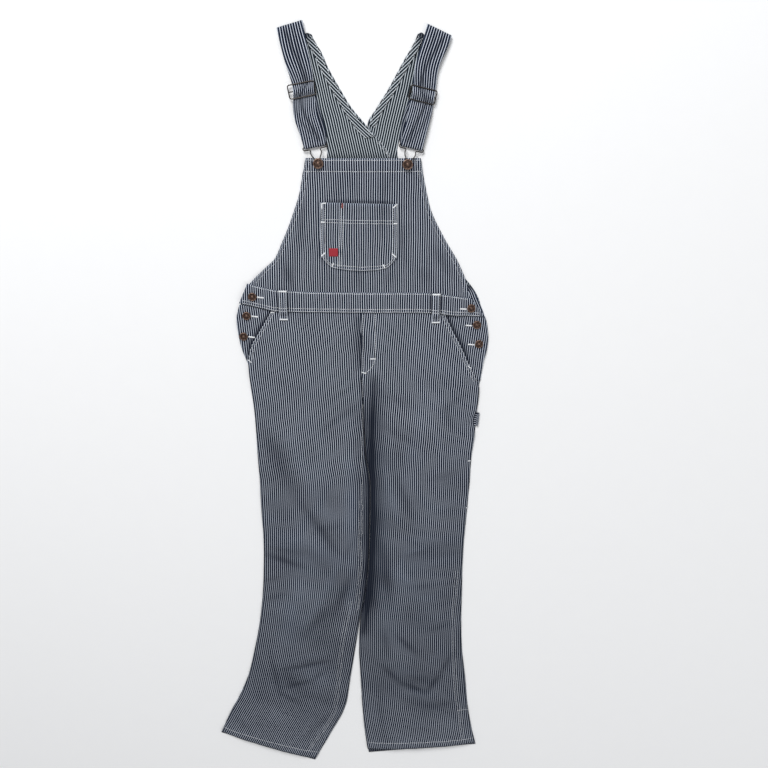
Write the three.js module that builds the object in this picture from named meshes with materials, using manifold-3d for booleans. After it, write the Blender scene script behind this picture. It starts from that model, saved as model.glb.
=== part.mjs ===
// Striped bib dungarees laid flat on their back, in millimetres, +Z up and the straps towards +Y.
// Left and right are the wearer's, so the right side is at -X. Tables are in garment coordinates:
// X is 0 on the centre front and Y is 0 at the waist seam. The last lines centre the part on its box.
import * as THREE from "three";
import { mergeVertices } from "three/addons/utils/BufferGeometryUtils.js";
import Module from "manifold-3d";

const wasm = await Module();
wasm.setup();

// Cloth and seams
const CLOTH = 1.2; // wall of one panel
const HEM = 2.2; // wall where a hem is turned and stitched
const GAP = 0.3; // between pieces that are sewn or lie on each other
const EDGE_ROUND = 3; // how square a panel's cross section is
const BIB_HEM = 21; // depth of the bib's turned top

// Straps and their metal
const STRAP_CLOTH = 1.5;
const STRAP_TOP_WIDTH = 41;
const STRAP_END_WIDTH = 35;
const STRAP_TAIL = 40; // how far the strap runs down behind its top fold
const WIRE = 1; // radius of the buckle wire
const SLIDER_WIDTH = 42;
const SLIDER_HEIGHT = 21;
const SLIDER_DOWN = 94; // from the strap's top fold to the slider's middle bar
const HOOK_REACH = 27.5; // from the wire bar in the strap's end to the bib button
const HOOK_EYE = 19.5; // outside width of the hook's eye

// Buttons
const BIB_BUTTON = 8.5; // radius of the head
const SIDE_BUTTON = 7.2;

const indigo = new THREE.Color(0.2, 0.23, 0.29);
const cloth = (name) =>
  new THREE.MeshStandardMaterial({ name, color: indigo, roughness: 0.9, metalness: 0 });
const darkMetal = () =>
  new THREE.MeshStandardMaterial({ name: "wire", color: 0x4b4540, roughness: 0.4, metalness: 0.9 });
const copperMetal = () =>
  new THREE.MeshStandardMaterial({ name: "button", color: 0x6b4a3a, roughness: 0.5, metalness: 0.8 });

// Closes a list of triangles into a geometry whose faces point out.
function closed(points, triangles) {
  const geometry = new THREE.BufferGeometry();
  geometry.setAttribute("position", new THREE.Float32BufferAttribute(points.flat(), 3));
  let sixVolumes = 0;
  for (const [a, b, c] of triangles) {
    const [p, q, r] = [points[a], points[b], points[c]].map((xyz) => new THREE.Vector3(...xyz));
    sixVolumes += p.dot(q.cross(r));
  }
  geometry.setIndex(triangles.flatMap(([a, b, c]) => (sixVolumes < 0 ? [a, c, b] : [a, b, c])));
  geometry.computeVertexNormals();
  return geometry;
}

// Two grids of the same size, one over the other, joined round their edges.
function wall(lower, upper) {
  const rows = lower.length;
  const columns = lower[0].length;
  const points = [...lower.flat(), ...upper.flat()];
  const over = rows * columns;
  const at = (j, i) => j * columns + i;
  const triangles = [];
  const quad = (a, b, c, d) => triangles.push([a, b, c], [a, c, d]);
  for (let j = 0; j + 1 < rows; j++)
    for (let i = 0; i + 1 < columns; i++) {
      const [a, b, c, d] = [at(j, i), at(j, i + 1), at(j + 1, i + 1), at(j + 1, i)];
      quad(over + a, over + b, over + c, over + d);
      quad(a, d, c, b);
    }
  const rim = [];
  for (let i = 0; i + 1 < columns; i++) rim.push(at(0, i));
  for (let j = 0; j + 1 < rows; j++) rim.push(at(j, columns - 1));
  for (let i = columns - 1; i > 0; i--) rim.push(at(rows - 1, i));
  for (let j = rows - 1; j > 0; j--) rim.push(at(j, 0));
  rim.forEach((a, k) => {
    const b = rim[(k + 1) % rim.length];
    quad(a, b, over + b, over + a);
  });
  return closed(points, triangles);
}

// A soft ridge, or a trough where its height is negative, along the line from one point to another.
function foldHeight(fold, x, y) {
  const [dx, dy] = [fold.toX - fold.fromX, fold.toY - fold.fromY];
  const length = Math.hypot(dx, dy);
  const along = ((x - fold.fromX) * dx + (y - fold.fromY) * dy) / length ** 2;
  const aside = ((x - fold.fromX) * dy - (y - fold.fromY) * dx) / length;
  const inside = Math.min(1, Math.max(0, along));
  const past = (along - inside) * length;
  return fold.height * Math.sin(Math.PI * (0.1 + 0.8 * inside)) *
    Math.exp(-((aside ** 2 + past ** 2) / fold.width ** 2));
}

// A cloth panel is a run of sections from edge a to edge b. Each section gives both edge points, the
// height of its underside at each and how much higher the cloth lies midway. Columns are smoothed
// along the run by the distance between the sections' middles.
class Panel {
  constructor(sections, { columns = 9, step = 40, thickness = () => CLOTH, folds = [], bend } = {}) {
    this.sections = sections;
    this.folds = folds;
    this.thickness = thickness;
    this.bend = bend ?? ((x, y) => y);
    this.columns = columns;
    this.stations = [0];
    sections.slice(1).forEach((next, k) => {
      const last = sections[k];
      const middle = [next.aX + next.bX - last.aX - last.bX, next.aY + next.bY - last.aY - last.bY];
      this.stations.push(this.stations[k] + Math.hypot(...middle) / 2);
    });
    this.rows = this.stations.slice(1).flatMap((end, k) => {
      const start = this.stations[k];
      const parts = Math.max(1, Math.round((end - start) / step));
      return Array.from({ length: parts }, (_, n) => start + ((end - start) * n) / parts);
    });
    this.rows.push(this.stations.at(-1));
  }
  // Every column of the table at a distance along the run.
  section(distance) {
    const s = this.stations;
    const last = s.length - 1;
    let k = 0;
    while (k < last - 1 && distance > s[k + 1]) k++;
    const span = s[k + 1] - s[k];
    const t = (distance - s[k]) / span;
    const slope = (column, i) => {
      const [lo, hi] = [Math.max(0, i - 1), Math.min(last, i + 1)];
      return (this.sections[hi][column] - this.sections[lo][column]) / (s[hi] - s[lo]);
    };
    const found = {};
    for (const column of Object.keys(this.sections[0])) {
      const [p, q] = [this.sections[k][column], this.sections[k + 1][column]];
      found[column] =
        p * (2 * t ** 3 - 3 * t ** 2 + 1) +
        q * (3 * t ** 2 - 2 * t ** 3) +
        slope(column, k) * span * (t ** 3 - 2 * t ** 2 + t) +
        slope(column, k + 1) * span * (t ** 3 - t ** 2);
    }
    return found;
  }
  // The point on the underside at a share u of the way from edge a to edge b.
  under(u, distance) {
    const n = this.section(distance);
    const x = n.aX + (n.bX - n.aX) * u;
    const y = this.bend(x, n.aY + (n.bY - n.aY) * u);
    const dome = 1 - Math.abs(2 * u - 1) ** EDGE_ROUND;
    const folded = this.folds.reduce((sum, fold) => sum + foldHeight(fold, x, y), 0);
    return [x, y, n.aZ + (n.bZ - n.aZ) * u + (n.crown + folded) * dome];
  }
  over(u, distance) {
    const [x, y, z] = this.under(u, distance);
    return [x, y, z + this.thickness(x, y)];
  }
  // The height of the outer face over a place on the panel whose sections run across X.
  topAt(x, y) {
    let [low, high] = [0, this.stations.at(-1)];
    let u = 0.5;
    for (let turn = 0; turn < 24; turn++) {
      const middle = (low + high) / 2;
      const n = this.section(middle);
      u = Math.min(1, Math.max(0, (x - n.aX) / (n.bX - n.aX)));
      if (this.under(u, middle)[1] > y) low = middle;
      else high = middle;
    }
    return this.over(u, (low + high) / 2)[2];
  }
  geometry() {
    const across = Array.from({ length: this.columns }, (_, i) => i / (this.columns - 1));
    return wall(
      this.rows.map((row) => across.map((u) => this.under(u, row))),
      this.rows.map((row) => across.map((u) => this.over(u, row))),
    );
  }
}

// A flat piece that lies on a panel: its underside is the panel's outer face, moved out by the gap.
function patch(host, sections, options) {
  const { columns = 5, step = 20, thickness = () => CLOTH, lift = () => 0, bend } = options;
  const flat = sections.map((row) => ({ ...row, aZ: 0, bZ: 0, crown: 0 }));
  const plan = new Panel(flat, { columns, step, bend });
  const across = Array.from({ length: columns }, (_, i) => i / (columns - 1));
  const raised = (extra) =>
    plan.rows.map((row) =>
      across.map((u) => {
        const [x, y] = plan.under(u, row);
        const seat = host.topAt(x, y) + GAP + lift(x, y);
        return [x, y, seat + (extra ? thickness(x, y) : 0)];
      }),
    );
  return wall(raised(false), raised(true));
}

// The waistband's two long edges in plan: its right end rides up and its left end droops.
const waistSections = [
  { aX: -211, aY: 16, bX: -195.5, bY: 50 },
  { aX: -180, aY: 8.5, bX: -172, bY: 43 },
  { aX: -150, aY: 0.8, bX: -148, bY: 37.5 },
  { aX: -90, aY: -1.3, bX: -90, bY: 34 },
  { aX: -5, aY: -2, bX: -5, bY: 33 },
  { aX: 90, aY: -2, bX: 90, bY: 33 },
  { aX: 150, aY: -3, bX: 148, bY: 31.5 },
  { aX: 206, aY: -5, bX: 181, bY: 27 },
];
const BAND_TOP = 33; // its upper edge on the centre front
const BAND_LAP = 4; // how far in from its upper edge it rests on the bib
const BAND_PULL = 60; // how far up the bib its slant is felt
// How far the band's upper edge is above its height on the centre front.
function bandLift(x) {
  const rows = waistSections;
  const next = rows.findIndex((row) => row.bX > x);
  const k = next < 0 ? rows.length - 2 : Math.max(0, next - 1);
  const t = Math.min(1, Math.max(0, (x - rows[k].bX) / (rows[k + 1].bX - rows[k].bX)));
  return rows[k].bY + (rows[k + 1].bY - rows[k].bY) * t - BAND_TOP;
}

const bibSections = [
  { aX: -92, aY: 257.5, bX: 93, bY: 257.5, aZ: 2.5, bZ: 2.5, crown: 5.6 },
  { aX: -96, aY: 238, bX: 96, bY: 238, aZ: 1.8, bZ: 1.8, crown: 6.2 },
  { aX: -97, aY: 235, bX: 96.5, bY: 235, aZ: 1.6, bZ: 1.6, crown: 6.3 },
  { aX: -104, aY: 200, bX: 104, bY: 200, aZ: 0.8, bZ: 0.8, crown: 7 },
  { aX: -113, aY: 174, bX: 111, bY: 174, aZ: 0.6, bZ: 0.6, crown: 7.4 },
  { aX: -123, aY: 148, bX: 123, bY: 148, aZ: 0.6, bZ: 0.6, crown: 7.6 },
  { aX: -135, aY: 121, bX: 138, bY: 121, aZ: 0.6, bZ: 0.6, crown: 7.7 },
  { aX: -148, aY: 94, bX: 154, bY: 95, aZ: 0.8, bZ: 0.8, crown: 7.6 },
  { aX: -165, aY: 74, bX: 164, bY: 76, aZ: 2, bZ: 2, crown: 7 },
  { aX: -180, aY: 54, bX: 172, bY: 58, aZ: 3, bZ: 3, crown: 6.2 },
  { aX: -195, aY: 27, bX: 180, bY: 27, aZ: 3, bZ: 3, crown: 5.7 },
];
const bib = new Panel(bibSections, {
  columns: 15,
  step: 22,
  thickness: (x, y) => (y > 257.5 - BIB_HEM ? HEM : CLOTH),
  bend: (x, y) => y + bandLift(x) * Math.min(1, Math.max(0, 1 - (y - BAND_TOP) / BAND_PULL)),
  folds: [
    { fromX: -84, fromY: 228, toX: -96, toY: 90, width: 18, height: 0.9 },
    { fromX: 82, fromY: 228, toX: 104, toY: 80, width: 18, height: 0.8 },
  ],
});

// The bib pocket, from its hemmed mouth to its clipped lower corners.
const pocketSections = [
  { aX: -69, aY: 188, bX: 56, bY: 185 },
  { aX: -69.4, aY: 156.5, bX: 56, bY: 153.5 },
  { aX: -69.6, aY: 154.5, bX: 56, bY: 151.5 },
  { aX: -71, aY: 100, bX: 55.5, bY: 98 },
  { aX: -63, aY: 90, bX: 47, bY: 87 },
  { aX: -53, aY: 80, bX: 38, bY: 78.5 },
];
const POCKET_HEM_Y = 155; // where its turned mouth ends
const POCKET_BOW = 4.5; // how far its lower edge is rounded down
const pocketBend = (x, y) =>
  y - POCKET_BOW * Math.max(0, 1 - ((x + 8) / 48) ** 2) * Math.min(1, Math.max(0, (100 - y) / 20));

// Each leg front runs from the waist seam to the hem, from its outer to its inner edge. The first
// sections' outer edge is the slanted mouth of the hip pocket.
const rightFrontSections = [
  { aX: -150.5, aY: 5, bX: -5.2, bY: 4, aZ: 4.6, bZ: 8.7, crown: 1.2 },
  { aX: -172, aY: -34, bX: -5.6, bY: -40, aZ: 4.6, bZ: 8.8, crown: 2.4 },
  { aX: -188, aY: -58, bX: -6, bY: -72, aZ: 4.6, bZ: 8.6, crown: 2.8 },
  { aX: -200, aY: -80, bX: -6, bY: -104, aZ: 4.6, bZ: 8.2, crown: 3 },
  { aX: -200.5, aY: -104, bX: -5.5, bY: -126, aZ: 4.6, bZ: 7.8, crown: 3.6 },
  { aX: -199, aY: -130, bX: -4, bY: -152, aZ: 2.6, bZ: 7.4, crown: 4.2 },
  { aX: -194.5, aY: -185, bX: -2, bY: -205, aZ: 1.5, bZ: 6, crown: 5.2 },
  { aX: -193, aY: -266, bX: 1, bY: -266, aZ: 1.5, bZ: 4, crown: 6.2 },
  { aX: -191.5, aY: -313, bX: 8, bY: -313, aZ: 1.5, bZ: 2, crown: 7.6 },
  { aX: -191.5, aY: -370, bX: 8, bY: -370, aZ: 1.5, bZ: 1.5, crown: 8.2 },
  { aX: -190, aY: -428, bX: 6.8, bY: -428, aZ: 1.5, bZ: 1.5, crown: 8.2 },
  { aX: -192, aY: -488, bX: 4.5, bY: -488, aZ: 1.5, bZ: 1.5, crown: 8.4 },
  { aX: -196.5, aY: -548, bX: -2, bY: -548, aZ: 1.5, bZ: 1.5, crown: 8.4 },
  { aX: -205, aY: -611, bX: -12, bY: -604, aZ: 1.5, bZ: 1.5, crown: 8.2 },
  { aX: -218, aY: -675, bX: -22, bY: -672, aZ: 1.5, bZ: 1.5, crown: 8.2 },
  { aX: -233, aY: -735, bX: -33, bY: -745, aZ: 1.5, bZ: 1.5, crown: 8.2 },
  { aX: -252, aY: -782, bX: -44, bY: -812, aZ: 1.5, bZ: 1.5, crown: 8.2 },
  { aX: -273, aY: -824, bX: -72, bY: -872, aZ: 1.5, bZ: 1.5, crown: 8 },
  { aX: -294, aY: -871, bX: -106, bY: -939, aZ: 1.6, bZ: 1.6, crown: 7.8 },
];
const leftFrontSections = [
  { aX: -4.8, aY: 4, bX: 136, bY: 3, aZ: 8.7, bZ: 4.6, crown: 1.2 },
  { aX: -5, aY: -40, bX: 166, bY: -36, aZ: 8.8, bZ: 4.6, crown: 2.4 },
  { aX: -5.4, aY: -72, bX: 185, bY: -60, aZ: 8.6, bZ: 4.6, crown: 2.8 },
  { aX: -5.4, aY: -104, bX: 203, bY: -84, aZ: 8.2, bZ: 4.6, crown: 3 },
  { aX: -4.9, aY: -128, bX: 203.5, bY: -108, aZ: 7.8, bZ: 4.6, crown: 3.6 },
  { aX: -3.4, aY: -152, bX: 200, bY: -132, aZ: 7.4, bZ: 3.4, crown: 4.2 },
  { aX: -1.4, aY: -205, bX: 197.5, bY: -185, aZ: 6, bZ: 3.3, crown: 5.2 },
  { aX: 0, aY: -235, bX: 195.5, bY: -222, aZ: 5, bZ: 3.2, crown: 5.7 },
  { aX: 1.6, aY: -266, bX: 191, bY: -266, aZ: 4, bZ: 1.5, crown: 6.2 },
  { aX: 8.6, aY: -313, bX: 189.5, bY: -313, aZ: 2, bZ: 1.5, crown: 7.6 },
  { aX: 8.6, aY: -370, bX: 186.5, bY: -370, aZ: 1.5, bZ: 1.5, crown: 8.2 },
  { aX: 7.4, aY: -428, bX: 183, bY: -428, aZ: 1.5, bZ: 1.5, crown: 8.2 },
  { aX: 5.1, aY: -488, bX: 181.5, bY: -488, aZ: 1.5, bZ: 1.5, crown: 8.4 },
  { aX: -1.4, aY: -548, bX: 182, bY: -548, aZ: 1.5, bZ: 1.5, crown: 8.4 },
  { aX: -11.2, aY: -605, bX: 182.5, bY: -611, aZ: 1.5, bZ: 1.5, crown: 8.2 },
  { aX: -14.5, aY: -672, bX: 186, bY: -675, aZ: 1.5, bZ: 1.5, crown: 8.2 },
  { aX: -12, aY: -745, bX: 194, bY: -740, aZ: 1.5, bZ: 1.5, crown: 8.2 },
  { aX: -9, aY: -812, bX: 201, bY: -807, aZ: 1.5, bZ: 1.5, crown: 8.2 },
  { aX: -5, aY: -868, bX: 211, bY: -865, aZ: 1.5, bZ: 1.5, crown: 8 },
  { aX: 0.5, aY: -915, bX: 219, bY: -899, aZ: 1.6, bZ: 1.6, crown: 7.8 },
];
const rightFolds = [
  { fromX: -28, fromY: -215, toX: -22, toY: -585, width: 14, height: 2.6 },
  { fromX: -95, fromY: -130, toX: -70, toY: -330, width: 18, height: 1.2 },
  { fromX: -190, fromY: -280, toX: -150, toY: -400, width: 20, height: -1.3 },
  { fromX: -186, fromY: -424, toX: -110, toY: -438, width: 14, height: 1.4 },
  { fromX: -189, fromY: -454, toX: -105, toY: -464, width: 14, height: -2.2 },
  { fromX: -123, fromY: -426, toX: -42, toY: -486, width: 15, height: 1.8 },
  { fromX: -104, fromY: -476, toX: -45, toY: -522, width: 15, height: -1.5 },
  { fromX: -112, fromY: -484, toX: -172, toY: -700, width: 26, height: 2.2 },
  { fromX: -60, fromY: -560, toX: -106, toY: -690, width: 20, height: -1.4 },
  { fromX: -140, fromY: -700, toX: -74, toY: -762, width: 17, height: 1.7 },
  { fromX: -168, fromY: -712, toX: -132, toY: -776, width: 14, height: -2 },
  { fromX: -134, fromY: -778, toX: -64, toY: -798, width: 14, height: -1.8 },
];
const leftFolds = [
  { fromX: 32, fromY: -225, toX: 30, toY: -600, width: 14, height: 2.2 },
  { fromX: 60, fromY: -20, toX: 150, toY: -110, width: 20, height: 0.9 },
  { fromX: 100, fromY: -130, toX: 82, toY: -330, width: 18, height: 1.1 },
  { fromX: 64, fromY: -468, toX: 160, toY: -447, width: 14, height: -1.7 },
  { fromX: 74, fromY: -490, toX: 166, toY: -472, width: 14, height: 1.2 },
  { fromX: 20, fromY: -488, toX: 104, toY: -538, width: 15, height: 1.4 },
  { fromX: 172, fromY: -562, toX: 90, toY: -530, width: 14, height: -1.1 },
  { fromX: 42, fromY: -560, toX: 62, toY: -720, width: 24, height: 1.4 },
  { fromX: 56, fromY: -750, toX: 156, toY: -739, width: 14, height: -1.8 },
  { fromX: 60, fromY: -774, toX: 160, toY: -776, width: 14, height: 1.2 },
  { fromX: 66, fromY: -799, toX: 166, toY: -811, width: 14, height: -1.6 },
];
const LEG = { columns: 15, step: 21 };
const rightFront = new Panel(rightFrontSections, { ...LEG, folds: rightFolds });
const leftFront = new Panel(leftFrontSections, { ...LEG, folds: leftFolds });

// The backs lie on the floor. Below the hips they follow the fronts, and their hems reach lower.
const lying = (row) => ({ ...row, aZ: 0, bZ: 0, crown: 0 });
const rightBack = new Panel(
  [
    { aX: -213, aY: -2.3, bX: -5.2, bY: -2.3 },
    { aX: -217, aY: -20, bX: -5.2, bY: -20 },
    { aX: -215, aY: -41, bX: -5.3, bY: -44 },
    { aX: -209, aY: -66, bX: -5.6, bY: -72 },
    ...rightFrontSections.slice(3, -1),
    { aX: -295, aY: -874.5, bX: -107.5, bY: -943 },
  ].map(lying),
  { columns: 8, step: 60 },
);
const leftBack = new Panel(
  [
    { aX: -4.8, aY: -2.3, bX: 203, bY: -2.3 },
    { aX: -4.8, aY: -20, bX: 210, bY: -20 },
    { aX: -4.9, aY: -44, bX: 212.5, bY: -41 },
    { aX: -5.2, aY: -72, bX: 210, bY: -66 },
    ...leftFrontSections.slice(3, -1),
    { aX: 3, aY: -924, bX: 220, bY: -903.5 },
  ].map(lying),
  { columns: 8, step: 60 },
);

// The upper back is cut in two: each half runs up to a shoulder. Its inner edge is the neck's V
// and then the seam that slants down from the V's point.
const backRightUpper = new Panel(
  [
    { aX: -119, aY: 426, bX: -77, bY: 436 },
    { aX: -104, aY: 390, bX: -54, bY: 396 },
    { aX: -89, aY: 356, bX: -34, bY: 361 },
    { aX: -77, aY: 330, bX: -17, bY: 334 },
    { aX: -66, aY: 303, bX: 6.8, bY: 306.6 },
    { aX: -61, aY: 288, bX: 21, bY: 289.7 },
    { aX: -57, aY: 268, bX: 40, bY: 263 },
    { aX: -62, aY: 230, bX: 50, bY: 230 },
    { aX: -78, aY: 180, bX: 42, bY: 180 },
    { aX: -106, aY: 125, bX: 22, bY: 125 },
    { aX: -145, aY: 85, bX: 8, bY: 85 },
    { aX: -186, aY: 52, bX: 0, bY: 52 },
    { aX: -205, aY: 26, bX: -4, bY: 26 },
    { aX: -212.5, aY: -2, bX: -5.2, bY: -2 },
  ].map(lying),
  { columns: 7, step: 30 },
);
const backLeftUpper = new Panel(
  [
    { aX: 82, aY: 434, bX: 123, bY: 422 },
    { aX: 60, aY: 396, bX: 105, bY: 389 },
    { aX: 40, aY: 361, bX: 88, bY: 355 },
    { aX: 22.5, aY: 334, bX: 75, bY: 329 },
    { aX: 7.8, aY: 307.6, bX: 64, bY: 303 },
    { aX: 22.3, aY: 288.7, bX: 59, bY: 287 },
    { aX: 41.3, aY: 262, bX: 55, bY: 267 },
    { aX: 50.5, aY: 230, bX: 64, bY: 230 },
    { aX: 42.5, aY: 180, bX: 80, bY: 180 },
    { aX: 22.5, aY: 125, bX: 110, bY: 125 },
    { aX: 8.5, aY: 85, bX: 146, bY: 85 },
    { aX: 0.5, aY: 52, bX: 174, bY: 56 },
    { aX: -3.5, aY: 26, bX: 192, bY: 30 },
    { aX: -4.7, aY: -2, bX: 202.5, bY: -2 },
  ].map(lying),
  { columns: 7, step: 30 },
);

// Facing strips on the inside of the neck's V, seen from the front because the inside faces up.
const FACING_WIDTH = 10;
const neckRight = [
  { aX: -72 - FACING_WIDTH, aY: 421, bX: -71.5, bY: 425 },
  { aX: -55 - FACING_WIDTH, aY: 391, bX: -55, bY: 395 },
  { aX: -35 - FACING_WIDTH, aY: 355, bX: -35, bY: 359.5 },
  { aX: -18 - FACING_WIDTH, aY: 327, bX: -18, bY: 333 },
  { aX: -3 - FACING_WIDTH, aY: 304, bX: -2.5, bY: 314 },
  { aX: 4, aY: 287.5, bX: 20, bY: 289.7 },
];
const neckLeft = [
  { aX: 76.5, aY: 425, bX: 76 + FACING_WIDTH, bY: 421 },
  { aX: 61, aY: 396, bX: 60 + FACING_WIDTH, bY: 392 },
  { aX: 41, aY: 361, bX: 40 + FACING_WIDTH, bY: 356 },
  { aX: 23, aY: 334, bX: 22 + FACING_WIDTH, bY: 328 },
  { aX: 9.5, aY: 309, bX: 9 + FACING_WIDTH, bY: 303 },
];
const facing = { columns: 3, step: 20, thickness: () => 0.9 };

// At each hip a facing shows inside the slanted pocket mouth and carries the buttonholes, and a
// button stand, sewn to the back, lies under it.
const rightHip = new Panel(
  [
    { aX: -211, aY: 15.4, bX: -136, bY: -1.8, aZ: 3, bZ: 3, crown: 0 },
    { aX: -217, aY: -8, bX: -149, bY: -28, aZ: 3, bZ: 3, crown: 0 },
    { aX: -216, aY: -32, bX: -163, bY: -47, aZ: 3, bZ: 3, crown: 0 },
    { aX: -211, aY: -62, bX: -176, bY: -68, aZ: 3, bZ: 3, crown: 0 },
    { aX: -203.5, aY: -84, bX: -184, bY: -88, aZ: 3, bZ: 3, crown: 0 },
    { aX: -199, aY: -98, bX: -188, bY: -98, aZ: 3, bZ: 3, crown: 0 },
  ],
  { columns: 5, step: 20 },
);
const leftHip = new Panel(
  [
    { aX: 124, aY: -3.2, bX: 206, bY: -5.3, aZ: 3, bZ: 3, crown: 0 },
    { aX: 141, aY: -28, bX: 210, bY: -20, aZ: 3, bZ: 3, crown: 0 },
    { aX: 158, aY: -48, bX: 212.5, bY: -42, aZ: 3, bZ: 3, crown: 0 },
    { aX: 174, aY: -70, bX: 211, bY: -64, aZ: 3, bZ: 3, crown: 0 },
    { aX: 186, aY: -90, bX: 206, bY: -86, aZ: 3, bZ: 3, crown: 0 },
    { aX: 190, aY: -99, bX: 202, bY: -97, aZ: 3, bZ: 3, crown: 0 },
  ],
  { columns: 5, step: 20 },
);
const STAND = 36; // width of a button stand
const rightStandEdge = [
  { x: -188, y: 49 },
  { x: -199, y: 37 },
  { x: -206, y: 22 },
  { x: -213, y: 0 },
  { x: -214.5, y: -20 },
  { x: -212.5, y: -42 },
  { x: -208.5, y: -62 },
  { x: -201.5, y: -86 },
];
const leftStandEdge = [
  { x: 180, y: 48 },
  { x: 187.5, y: 38 },
  { x: 192.5, y: 25 },
  { x: 203, y: 2 },
  { x: 208, y: -20 },
  { x: 210.5, y: -42 },
  { x: 209.5, y: -62 },
  { x: 204.5, y: -86 },
];
const standPanel = (edge, side) =>
  new Panel(
    edge.map(({ x, y }) => ({
      aX: side < 0 ? x : x - STAND,
      aY: y,
      bX: side < 0 ? x + STAND : x,
      bY: y,
      aZ: 1.5,
      bZ: 1.5,
      crown: 0,
    })),
    { columns: 3, step: 25 },
  );

// The band lies over the bib's lower edge and the tops of the legs, level from edge to edge.
function underBand(x) {
  const leg = x < -5 ? rightFront : leftFront;
  const overLeg = x > -150 && x < 136 ? leg.topAt(x, 0) : 0;
  const overHip = rightHip.topAt(-180, 0);
  return Math.max(bib.topAt(x, BAND_TOP - BAND_LAP + bandLift(x)), overLeg, overHip);
}
const bandHeight = (x) => underBand(x) + GAP + HEM;

// A belt loop is a narrow strip, tacked at the band's upper edge and on the leg below the band. Its
// rows are measured from the band's edges, with how far it stands off the cloth.
const LOOP_WIDTH = 13;
const loopRows = [
  { fromTop: -1, stand: 0 },
  { fromTop: -8, stand: 1.4 },
  { fromTop: -22, stand: 2 },
  { fromTop: -34, stand: 1.4 },
  { fromTop: -39, stand: 0.9 },
  { fromTop: -45, stand: 0.3 },
  { fromTop: -50, stand: 0 },
];
function beltLoop(x) {
  const top = BAND_TOP + bandLift(x);
  const leg = x < 0 ? rightFront : leftFront;
  const onBand = (y) => y > top - 41;
  const host = { topAt: (px, py) => (onBand(py) ? bandHeight(px) : leg.topAt(px, py)) };
  const rows = loopRows.map(({ fromTop }) => ({
    aX: x - LOOP_WIDTH / 2,
    aY: top + fromTop,
    bX: x + LOOP_WIDTH / 2,
    bY: top + fromTop,
  }));
  const lift = (px, py) => {
    const next = Math.max(1, loopRows.findIndex((row) => row.fromTop <= py - top + 1e-6));
    const [p, q] = [loopRows[next - 1], loopRows[next]];
    return p.stand + ((q.stand - p.stand) * (p.fromTop - py + top)) / (p.fromTop - q.fromTop);
  };
  return patch(host, rows, { columns: 3, step: 100, thickness: () => 1.5, lift });
}

// A strip of cloth that keeps its width across while its long side follows a path seen from the
// side, given as places along the strip and heights. Its frame turns it into the garment's plane.
function ribbon(path, thickness, widthAt, place) {
  const curve = new THREE.CatmullRomCurve3(
    path.map(({ along, z }) => new THREE.Vector3(along, z, 0)),
    false,
    "centripetal",
  );
  const last = path.length - 1;
  const shares = path.slice(1).flatMap((to, k) => {
    const parts = Math.ceil(Math.hypot(to.along - path[k].along, to.z - path[k].z) / 14);
    return Array.from({ length: parts }, (_, n) => (k + n / parts) / last);
  });
  const faces = [-1, 1].map((side) =>
    [...shares, 1].map((share) => {
      const point = curve.getPoint(share);
      const tangent = curve.getTangent(share);
      const along = point.x - (tangent.y * side * thickness) / 2;
      const z = point.y + (tangent.x * side * thickness) / 2;
      return [-0.5, 0.5].map((edge) => place(edge * widthAt(point.x), along, z));
    }),
  );
  return wall(faces[0], faces[1]);
}

// Where a strap lies: its top fold, its button and how far its fold is out of square.
const straps = {
  right: { topX: -110, topY: 454, buttonX: -71.3, buttonY: 249.5, skew: Math.tan(0.2) },
  left: { topX: 118.5, topY: 445, buttonX: 71.9, buttonY: 248, skew: -Math.tan(0.15) },
};
for (const strap of Object.values(straps)) {
  const [dx, dy] = [strap.buttonX - strap.topX, strap.buttonY - strap.topY];
  strap.toButton = Math.hypot(dx, dy);
  strap.length = strap.toButton - HOOK_REACH;
  strap.down = [dx / strap.toButton, dy / strap.toButton];
}
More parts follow.
